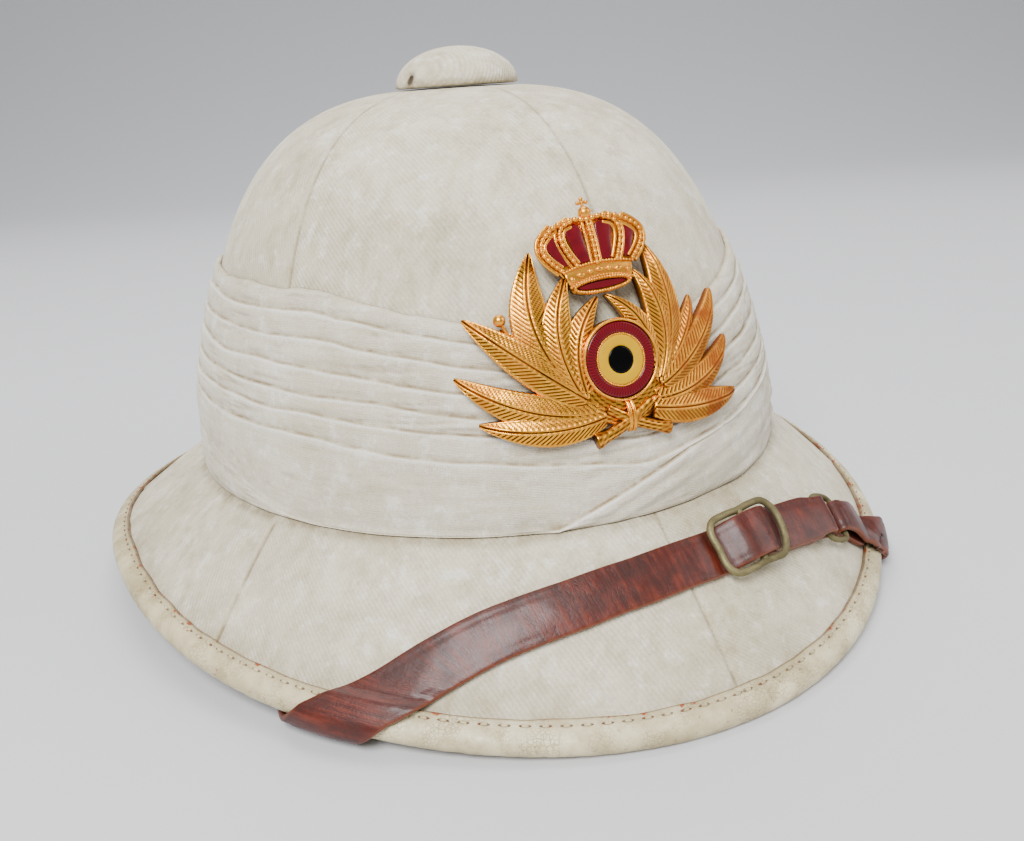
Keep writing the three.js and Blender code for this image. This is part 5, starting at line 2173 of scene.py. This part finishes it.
    def add_stems(self) -> None:
        """Adds the two stems, which cross below the roundel."""
        for start, end, thick, flare in (
            ((0.6, 76.8), (-16.0, 68.9), 1.8, 0.75),
            ((-12.0, 76.9), (5.0, 68.8), 1.7, 0.5),
        ):
            middle = ((start[0] + end[0]) / 2, end[1] + 2.2)
            knots = [
                self.face.at(*start, thick),
                self.face.at(*middle, thick + 0.3),
                self.face.at(*end, thick),
            ]

            def path(share: float) -> Vector:
                """The stem's middle line."""
                first, bend, last = knots
                return first * (1 - share) ** 2 + bend * (2 * share * (1 - share)) + last * share**2

            def bark(share: float, turn: float) -> Pair:
                """The rings and the ribs of its bark, each from -1 to 1."""
                rings = math.sin(share * 61 + 5 * math.sin(turn * 2))
                return rings, math.sin(turn * 9 + share * 5)

            def radius(share: float, turn: float) -> float:
                """The stem's radius, ribbed like bark and wider at its cut end."""
                rings, ribs = bark(share, turn)
                swell = 0.02 * rings + 0.07 * ribs
                return thick * (0.92 + swell) + flare * smooth(share, 0.8, 1)

            def relief(share: float, turn: float) -> float:
                """The stem's relief."""
                rings, ribs = bark(share, turn)
                return clamp(0.5 + 0.15 * rings + 0.3 * ribs)

            out = self.face.normal(*middle)
            self.add_rod(path, radius, 60, 20, out, relief)

    def add_tie(self) -> None:
        """Adds the two strands that tie the stems."""
        for strand in (-self.strand_radius, self.strand_radius):

            def path(share: float) -> Vector:
                """The strand's middle line."""
                z = mix(self.tie_low, self.tie_high, share)
                arch = self.tie_arch * math.sin(math.pi * clamp(share, 0.04, 0.96)) ** 0.35
                return self.face.at(self.face.centre_x + 0.4 + strand, z, arch)

            out = self.face.normal(self.face.centre_x, (self.tie_low + self.tie_high) / 2)
            self.add_rod(
                path, lambda share, turn: self.strand_radius, 30, 12, out, lambda share, turn: 0.8
            )

    def add_heel(self) -> None:
        """Adds the engraved plate where the leaves' feet meet, below the roundel."""
        long, wide = 60, 24

        def spot(column: int, row: int) -> Pair:
            """A place of the plate, across and up."""
            turn = math.radians(mix(184, 356, column / long))
            reach = mix(self.heel_inner, self.heel_outer, row / wide)
            across = self.face.centre_x + reach * math.cos(turn) * self.heel_oval
            return (across, self.roundel_z + reach * math.sin(turn))

        def ridge(column: int, row: int) -> float:
            """The engraved lines."""
            return math.sin(row / wide * 7 * TURN) * math.sin(column / long * 26 * math.pi)

        def section(row: int) -> tuple[int, bool]:
            """The row of a point of the closed section, and whether it lies on top."""
            if row <= wide:
                return row, True
            return (wide if row == wide + 1 else 0), False

        def place(column: int, row: int) -> Vector:
            """A point of the plate."""
            step, top = section(row % (wide + 3))
            x, z = spot(column, step)
            fall = 0.9 * smooth(step / wide, 0.55, 1) + 0.3
            high = self.plate + 1.1 - fall + 0.09 * ridge(column, step)
            return self.face.at(x, z, high if top else 0.0)

        def relief(column: int, row: int) -> float:
            """Relief of a point of the plate."""
            step, top = section(row % (wide + 3))
            return clamp(0.5 + 0.4 * ridge(column, step)) if top else 0.1

        self.gilt.sheet(long, wide + 3, place, None, [VertexMark("relief", relief)])

    def add_ball(self, centre: Vector, radius: float, relief: float = 0.8, fine: int = 1) -> None:
        """Adds a small ball of gilt metal.

        Args:
            centre: Its middle, in millimetres.
            radius: Its radius, in millimetres.
            relief: Its relief mark.
            fine: How finely it is divided.
        """
        self.add_oval(Matrix.Translation(centre) @ Matrix.Scale(radius, 4), relief, fine)

    def add_oval(self, spot: Matrix, relief: float, fine: int) -> None:
        """Adds a ball of radius 1, moved and stretched by a frame in millimetres.

        Args:
            spot: The frame.
            relief: Its relief mark.
            fine: How finely it is divided.
        """
        placed = Matrix.Scale(MM, 4) @ spot
        made = bmesh.ops.create_icosphere(self.gilt.bm, subdivisions=fine, radius=1, matrix=placed)
        layer = self.gilt.mark_layer("relief")
        for vert in made["verts"]:
            vert[layer] = relief
            for face in vert.link_faces:
                face.smooth = True

    def add_berry(self) -> None:
        """Adds the berry between two leaves, on its twig."""
        seat = self.face.at(-34.1, 101.9, 1.7)
        foot = self.face.at(-31.3, 94.6, 0.8)
        self.add_ball(seat, self.berry_radius, 0.85, 3)
        self.add_bar(seat, foot, 0.5, 8, self.face.normal(-33, 99))

    def spin(
        self,
        piece: MeshPiece,
        to_place: Matrix,
        profile: Sequence[Triple],
        sides: int = 128,
        mark: str = "relief",
    ) -> None:
        """Adds a turned shape.

        Args:
            piece: The mesh that takes it.
            to_place: Its frame, whose third axis it is turned about.
            profile: Rows of radius, height and mark.
            sides: Count of steps round it.
            mark: Name of the mark.
        """

        def place(column: int, row: int) -> Vector:
            """A point of the turned shape."""
            turn = TURN * (column % sides) / sides
            radius, height, _ = profile[row]
            return to_place @ Vector((radius * math.cos(turn), radius * math.sin(turn), height))

        def weave(column: int, row: int, face_column: int) -> Pair:
            """Turn and radius of a point."""
            return (TURN * column / sides, profile[row][0])

        soil_and_shade = VertexMark(mark, lambda column, row: profile[row][2])
        piece.sheet(sides, len(profile) - 1, place, weave, [soil_and_shade])

    def add_roundel(self) -> None:
        """Adds the roundel's gilt seat, its beaded line and its three rings of enamel."""
        spot = self.round_frame
        floor = self.plate + 0.6
        top = floor + 1.3
        outer_side, inner_side = self.fillet
        self.spin(
            self.gilt,
            spot,
            [
                (0.0, 0.0, 0.1),
                (self.rim, 0.0, 0.1),
                (self.rim + 0.1, top - 0.6, 0.5),
                (self.rim, top, 0.9),
                (self.rim - 0.25, top + 0.28, 1.0),
                (self.rim - 0.5, top + 0.3, 1.0),
                (self.well + 0.25, top + 0.15, 0.6),
                (self.well + 0.15, top - 0.1, 0.2),
                (self.well + 0.05, top - 0.3, 0.1),
                (self.well, floor, 0.1),
                (0.0, floor, 0.1),
            ],
        )
        self.bead_circle(self.rim_beads, self.rim - 0.35, top + 0.24, 0.2, 1.0)
        self.bead_circle(self.inner_beads, sum(self.fillet) / 2, top - 0.12, 0.3, 0.9)
        self.spin(
            self.gilt,
            spot,
            [
                (inner_side, floor, 0.2),
                (inner_side, top - 0.1, 0.6),
                (outer_side, top - 0.1, 0.6),
                (outer_side, floor, 0.2),
                (inner_side, floor, 0.2),
            ],
        )
        bottom = floor + 0.3
        rings = (
            ("enamel_outer", Finish.GUILLOCHE, "roundel_red", self.red_ring, 0.1),
            ("enamel_middle", Finish.YELLOW, "roundel_yellow", self.yellow_ring, 0.12),
            ("enamel_centre", Finish.BLACK, "roundel_black", (self.black_radius, 0.0), 0.12),
        )
        for name, finish, node, (outer, inner), dome in rings:
            profile = [(inner, bottom, 0.0), (outer, bottom, 0.0)]
            for k in range(7):
                share = k / 6
                radius = mix(outer, inner, share)
                bulge = math.sin(math.pi * share) if inner else math.cos(math.pi / 2 * (1 - share))
                profile.append((radius, top - 0.15 + dome * bulge, 0.5))
            if inner:
                profile.append(profile[0])
            ring = MeshPiece(name)
            self.spin(ring, spot, profile)
            ring.finish(self.wardrobe[finish], finish.slot, node)

    def bead_circle(
        self, count: int, reach: float, height: float, radius: float, relief: float
    ) -> None:
        """Adds a circle of beads round the roundel.

        Args:
            count: Count of beads.
            reach: Their distance from the roundel's middle.
            height: Height of their middles.
            radius: Radius of a bead.
            relief: Their relief mark.
        """
        for k in range(count):
            turn = TURN * k / count
            arm = Vector((math.cos(turn), math.sin(turn), 0))
            bead = self.round_frame @ (arm * reach + Vector((0, 0, height)))
            self.add_ball(bead, radius, relief)

    def on_crown(self, across: float, up: float, height: float) -> Vector:
        """A point of the badge's crown."""
        return self.crown_frame @ Vector((across, up, height))

    def add_slab(
        self,
        outline: Sequence[Pair],
        low: float,
        high: float,
        round_off: float = 0.25,
        relief: float = 0.35,
    ) -> None:
        """Adds a flat plate on the badge's crown, with its upper edge rounded.

        Args:
            outline: Its outline, across and up.
            low: Height of its back.
            high: Height of its front.
            round_off: How far its upper edge is rounded.
            relief: Relief mark of its front.
        """
        count = len(outline)
        middle_x = sum(x for x, _ in outline) / count
        middle_y = sum(y for _, y in outline) / count
        levels = (
            (0.0, low, 0.1),
            (1.0, low, 0.1),
            (1.0, high - round_off, 0.4),
            (1.0 - round_off * 0.05, high - round_off * 0.3, 0.9),
            (1.0 - round_off * 0.16, high, relief),
            (0.0, high, relief),
        )

        def place(column: int, row: int) -> Vector:
            """A point of the plate."""
            x, y = outline[column % count]
            share, height, _ = levels[row]
            return self.on_crown(mix(middle_x, x, share), mix(middle_y, y, share), height)

        soil_and_shade = VertexMark("relief", lambda column, row: levels[row][2])
        self.gilt.sheet(count, len(levels) - 1, place, None, [soil_and_shade])

    def bead_line(
        self,
        knots: Sequence[Pair],
        height: float,
        radius: float,
        pitch: float,
        closed: bool = False,
    ) -> None:
        """Adds a row of beads on a rod along a line of the badge's crown.

        Args:
            knots: Places that the line passes, across and up.
            height: Height of the rod.
            radius: Radius of a bead.
            pitch: Distance between beads.
            closed: Whether the line ends where it starts.
        """
        curve = spline([Vector((x, y, 0)) for x, y in knots], closed)
        samples = [curve(k / 200) for k in range(201)]
        total = sum((b - a).length for a, b in zip(samples, samples[1:]))
        count = max(2, round(total / pitch))

        def path(share: float) -> Vector:
            """The rod's middle line."""
            point = curve(share)
            return self.on_crown(point.x, point.y, height)

        self.add_rod(path, lambda share, turn: radius * 0.72, count * 2, 8, self.crown_out)
        travelled, due = 0.0, 0.0
        for here, there in zip(samples, samples[1:]):
            while due <= travelled + (there - here).length + 1e-6:
                share = (due - travelled) / max(1e-6, (there - here).length)
                spot = here.lerp(there, share)
                seat = self.on_crown(spot.x, spot.y, height + radius * 0.35)
                self.add_ball(seat, radius, 0.95, 2)
                due += total / count
            travelled += (there - here).length

    def add_crown(self) -> None:
        """Adds the crown: its plate, beaded arches, enamel cells, band, mouth, orb and cross."""
        right = [
            (8.9, 1.4),
            (11.4, 5.2),
            (14.1, 8.0),
            (16.0, 10.9),
            (16.1, 13.4),
            (14.2, 15.7),
            (12.0, 17.4),
            (9.4, 18.7),
            (5.2, 19.3),
            (1.6, 18.6),
        ]
        outline = [*right, *((-x, y) for x, y in reversed(right))]
        floor, high = self.plate + 0.15, self.plate + self.relief
        self.add_slab(outline, 0, floor, relief=0.7)
        outer = [(11.0, 5.6), (13.8, 8.6), (15.2, 11.2), (15.0, 13.6), (13.2, 15.6), (10.6, 17.4)]
        inner = [(6.2, 6.2), (7.7, 9.2), (8.9, 12.4), (9.0, 15.0), (7.9, 17.2), (5.2, 18.3)]
        for sign in (-1, 1):
            self.add_arch([(sign * x, y) for x, y in outer], high, 1.55)
            self.add_arch([(sign * x, y) for x, y in inner], high, 1.55)
        self.add_arch([(0.0, 6.2), (0.1, 9.0), (0.2, 12.0), (0.1, 15.0), (0.0, 18.2)], high, 1.7)
        half_top = [(3.4, 18.8), (7.0, 18.6), (10.4, 17.5)]
        top = [*((-x, y) for x, y in reversed(half_top)), (0.0, 18.3), *half_top]
        self.bead_line(top, high, 0.85, 1.8)
        for name, row in CELLS.items():
            self.add_cell(name, row, floor + 0.05, high - 0.1)
        self.add_band(high)
        self.add_mouth(high)
        self.add_finial(high)

    def add_arch(self, knots: Sequence[Pair], high: float, half: float) -> None:
        """Adds an arch of the crown: a strip with a row of beads between two raised edges.

        Args:
            knots: Places that its middle line passes, across and up.
            high: Height of its face.
            half: Half its width.
        """
        curve = spline([Vector((x, y, 0)) for x, y in knots])
        self.bead_line(knots, high + 0.1, 0.72, 1.6)
        for side in (-1, 1):

            def path(share: float) -> Vector:
                """The raised edge's middle line."""
                way = (curve(share + 0.01) - curve(share - 0.01)).normalized()
                point = curve(share) + Vector((-way.y, way.x, 0)) * (side * half * 0.82)
                return self.on_crown(point.x, point.y, high - 0.35)

            self.add_rod(
                path, lambda share, turn: 0.55, 40, 10, self.crown_out, lambda share, turn: 0.75
            )

    def add_cell(self, name: str, row: tuple[float, ...], low: float, high: float) -> None:
        """Makes a domed enamel cell between two arches.

        Args:
            name: The solid's name, which the piece shares.
            row: Foot and head, across and up, and half widths of foot and head.
            low: Height of its back.
            high: Height of its front.
        """
        foot, head = Vector(row[0:2]), Vector(row[2:4])
        way = (head - foot).normalized()
        side = Vector((-way.y, way.x))
        long, wide = 20, 10

        def place(column: int, step: int) -> Vector:
            """A point of the cell."""
            share = column / long
            cap = max(0.0, share - 0.8) / 0.2
            half = mix(row[4], row[5], share) * math.sqrt(max(0.0, 1 - 0.85 * cap**2))
            top = 0 < step < wide + 2
            u = (step - 1) / wide * 2 - 1 if top else (-1.0 if step in (0, wide + 3) else 1.0)
            spot = foot.lerp(head, share) + side * (u * half)
            dome = 0.25 * (1 - u * u) * math.sin(math.pi * clamp(share, 0.1, 0.9))
            return self.on_crown(spot.x, spot.y, high + dome if top else low)

        cell = MeshPiece(f"{name}_fill")
        cell.sheet(long, wide + 3, place)
        cell.weld()
        cell.close()
        cell.finish(self.wardrobe[Finish.RED], Finish.RED.slot, name)

    def add_band(self, high: float) -> None:
        """Adds the crown's band, with oval jewels between two beaded lines."""
        steps = 14
        upper = [(mix(-10.6, 10.6, k / steps)) for k in range(steps + 1)]
        outline = [
            (mix(9.4, -9.4, k / steps), 0.3 + 1.9 * math.sin(math.pi * k / steps))
            for k in range(steps + 1)
        ]
        outline += [(x, 4.9 + 1.4 * (1 - (x / 10.6) ** 2)) for x in upper]
        self.add_slab(outline, 0, high + 0.35, 0.3, 0.62)
        low_line = [(x * 0.9, 2.25 - 1.9 * (x / 10.6) ** 2 + 0.2) for x in upper]
        top_line = [(x, 4.9 + 1.4 * (1 - (x / 10.6) ** 2)) for x in upper]
        self.bead_line(low_line, high + 0.35, 0.42, 0.9)
        self.bead_line(top_line, high + 0.35, 0.42, 0.9)
        for k in range(7):
            share = k / 6 * 2 - 1
            x = share * 8.6
            y = 4.2 - 1.55 * share**2
            long = 1.15 if k % 2 else 0.75
            stretch = Matrix.Diagonal((long, 0.8, 0.6, 1))
            place = Matrix.Translation((x, y, high + 0.45))
            self.add_oval(self.crown_frame @ place @ stretch, 0.95, 3)

    def add_mouth(self, high: float) -> None:
        """Adds the milled rim of the crown's oval mouth."""
        turns = [TURN * k / 16 for k in range(16)]
        oval = [(8.6 * math.cos(turn), 1.8 * math.sin(turn)) for turn in turns]
        back = [(9.2 * math.cos(turn), 2.1 * math.sin(turn)) for turn in turns]
        self.add_slab(back, 0, self.plate + 0.15)
        self.bead_line(oval, high + 0.3, 0.44, 0.8, closed=True)
        self.bead_line(oval, high - 0.3, 0.6, 0.8, closed=True)

    def add_finial(self, high: float) -> None:
        """Adds the orb and the small cross with balled ends."""
        self.add_ball(self.on_crown(0, self.orb_height, high), self.orb_radius, 0.9, 3)
        belt = [(-1.7, self.orb_height), (0, self.orb_height - 0.2), (1.7, self.orb_height)]
        self.bead_line(belt, high + 1.4, 0.24, 0.5)
        for start, end in (((0, 21.6), (0, 24.2)), ((-1.2, 23.1), (1.2, 23.1))):
            first, last = (self.on_crown(*spot, high) for spot in (start, end))
            self.add_bar(first, last, 0.42, 4, self.crown_out)
        for x, y in ((0, 24.1), (-1.3, 23.1), (1.3, 23.1), (0, 23.1)):
            self.add_ball(self.on_crown(x, y, high), 0.62, 0.95, 2)


# Studio


@dataclass(frozen=True)
class Lamp:
    """A soft square light.

    Attributes:
        name: Its name.
        place: Where it hangs, in metres.
        size: Its width, in metres.
        power: Its power, in watts.
    """

    name: str
    place: Triple
    size: float
    power: float


@dataclass
class Studio:
    """A pale floor, soft lights and the photograph's viewpoint."""

    camera_place: Triple = (-143.55, -333.76, 162.5)
    camera_right: Triple = (0.88942, -0.45262, -0.06376)
    camera_up: Triple = (0.20307, 0.26631, 0.94225)
    camera_back: Triple = (-0.4095, -0.85101, 0.32878)
    focal_pixels: float = 955.613
    picture_pixels: float = 1024.0
    sensor: float = 36.0
    floor_size: float = 20.0
    sweep_from: float = 1.3
    sweep_radius: float = 1.6
    paper: Colour = tint(0xC6C7CA)
    sky: Colour = tint(0xF2F2F4)
    sky_strength: float = 0.5
    aim: Triple = (0.0, 0.0, 0.08)
    lamps: tuple[Lamp, ...] = (
        Lamp("key", (-0.9, -1.0, 1.5), 0.9, 66.0),
        Lamp("fill", (1.5, -0.8, 0.9), 1.2, 15.0),
        Lamp("top", (0.2, 0.7, 1.6), 1.2, 26.0),
    )

    def build(self) -> None:
        """Makes the floor, the lights, the world and the camera."""
        self.lay_floor()
        for lamp in self.lamps:
            self.light(lamp)
        world = bpy.data.worlds.new("studio")
        bpy.context.scene.world = world
        world.use_nodes = True
        sky = world.node_tree.nodes["Background"]
        sky.inputs["Color"].default_value = self.sky
        sky.inputs["Strength"].default_value = self.sky_strength
        self.place_camera()

    def lay_floor(self) -> None:
        """Lays the floor, which curves up far behind the helmet."""
        far = -Vector(self.camera_back)
        far.z = 0.0
        far.normalize()
        aside = Vector((far.y, -far.x, 0.0))
        half, bends = self.floor_size / 2, 24
        profile = [Vector((-half, 0.0)), Vector((self.sweep_from, 0.0))]
        for k in range(1, bends + 1):
            turn = math.pi / 2 * k / bends
            ahead = self.sweep_from + self.sweep_radius * math.sin(turn)
            profile.append(Vector((ahead, self.sweep_radius * (1 - math.cos(turn)))))
        profile.append(Vector((profile[-1].x, half)))
        mesh = bpy.data.meshes.new("floor")
        bm = bmesh.new()
        rows = []
        for point in profile:
            middle = far * point.x + Vector((0, 0, point.y))
            rows.append([bm.verts.new(middle + aside * side) for side in (-half, half)])
        for (a, b), (c, d) in zip(rows, rows[1:]):
            bm.faces.new((a, b, d, c)).smooth = True
        bmesh.ops.recalc_face_normals(bm, faces=bm.faces)
        bm.to_mesh(mesh)
        bm.free()
        floor = bpy.data.objects.new("floor", mesh)
        bpy.context.scene.collection.objects.link(floor)
        shade = Shade("floor_paper")
        shade.set(Base_Color=self.paper, Roughness=0.9)
        mesh.materials.append(shade.material)

    def light(self, lamp: Lamp) -> None:
        """Hangs a soft light that faces the helmet."""
        made = bpy.data.lights.new(lamp.name, "AREA")
        made.shape = "SQUARE"
        made.size = lamp.size
        made.energy = lamp.power
        hung = bpy.data.objects.new(lamp.name, made)
        hung.location = lamp.place
        way = Vector(self.aim) - hung.location
        hung.rotation_euler = way.to_track_quat("-Z", "Y").to_euler()
        bpy.context.scene.collection.objects.link(hung)

    def place_camera(self) -> None:
        """Sets the camera where the photograph was taken from."""
        lens = bpy.data.cameras.new("camera")
        lens.sensor_width = self.sensor
        lens.lens = self.focal_pixels / self.picture_pixels * self.sensor
        lens.clip_start = 0.01
        camera = bpy.data.objects.new("camera", lens)
        axes = (self.camera_right, self.camera_up, self.camera_back)
        turned = Matrix(axes).transposed().to_4x4()
        camera.matrix_world = Matrix.Translation(Vector(self.camera_place) * MM) @ turned
        bpy.context.scene.collection.objects.link(camera)
        bpy.context.scene.camera = camera


def main() -> None:
    """Builds the helmet and its studio."""
    logging.basicConfig(level=logging.INFO, format="%(message)s")
    form, wardrobe = HelmetForm(), Wardrobe()
    CoveredShell(form, wardrobe).build()
    EdgeBinding(form, wardrobe).build()
    Puggaree(form, wardrobe).build()
    VentilatorButton(form, wardrobe).build()
    Badge(form, wardrobe).build()
    StrapSet(StrapCourse(form), wardrobe).build()
    Studio().build()


if __name__ == "__main__":
    main()
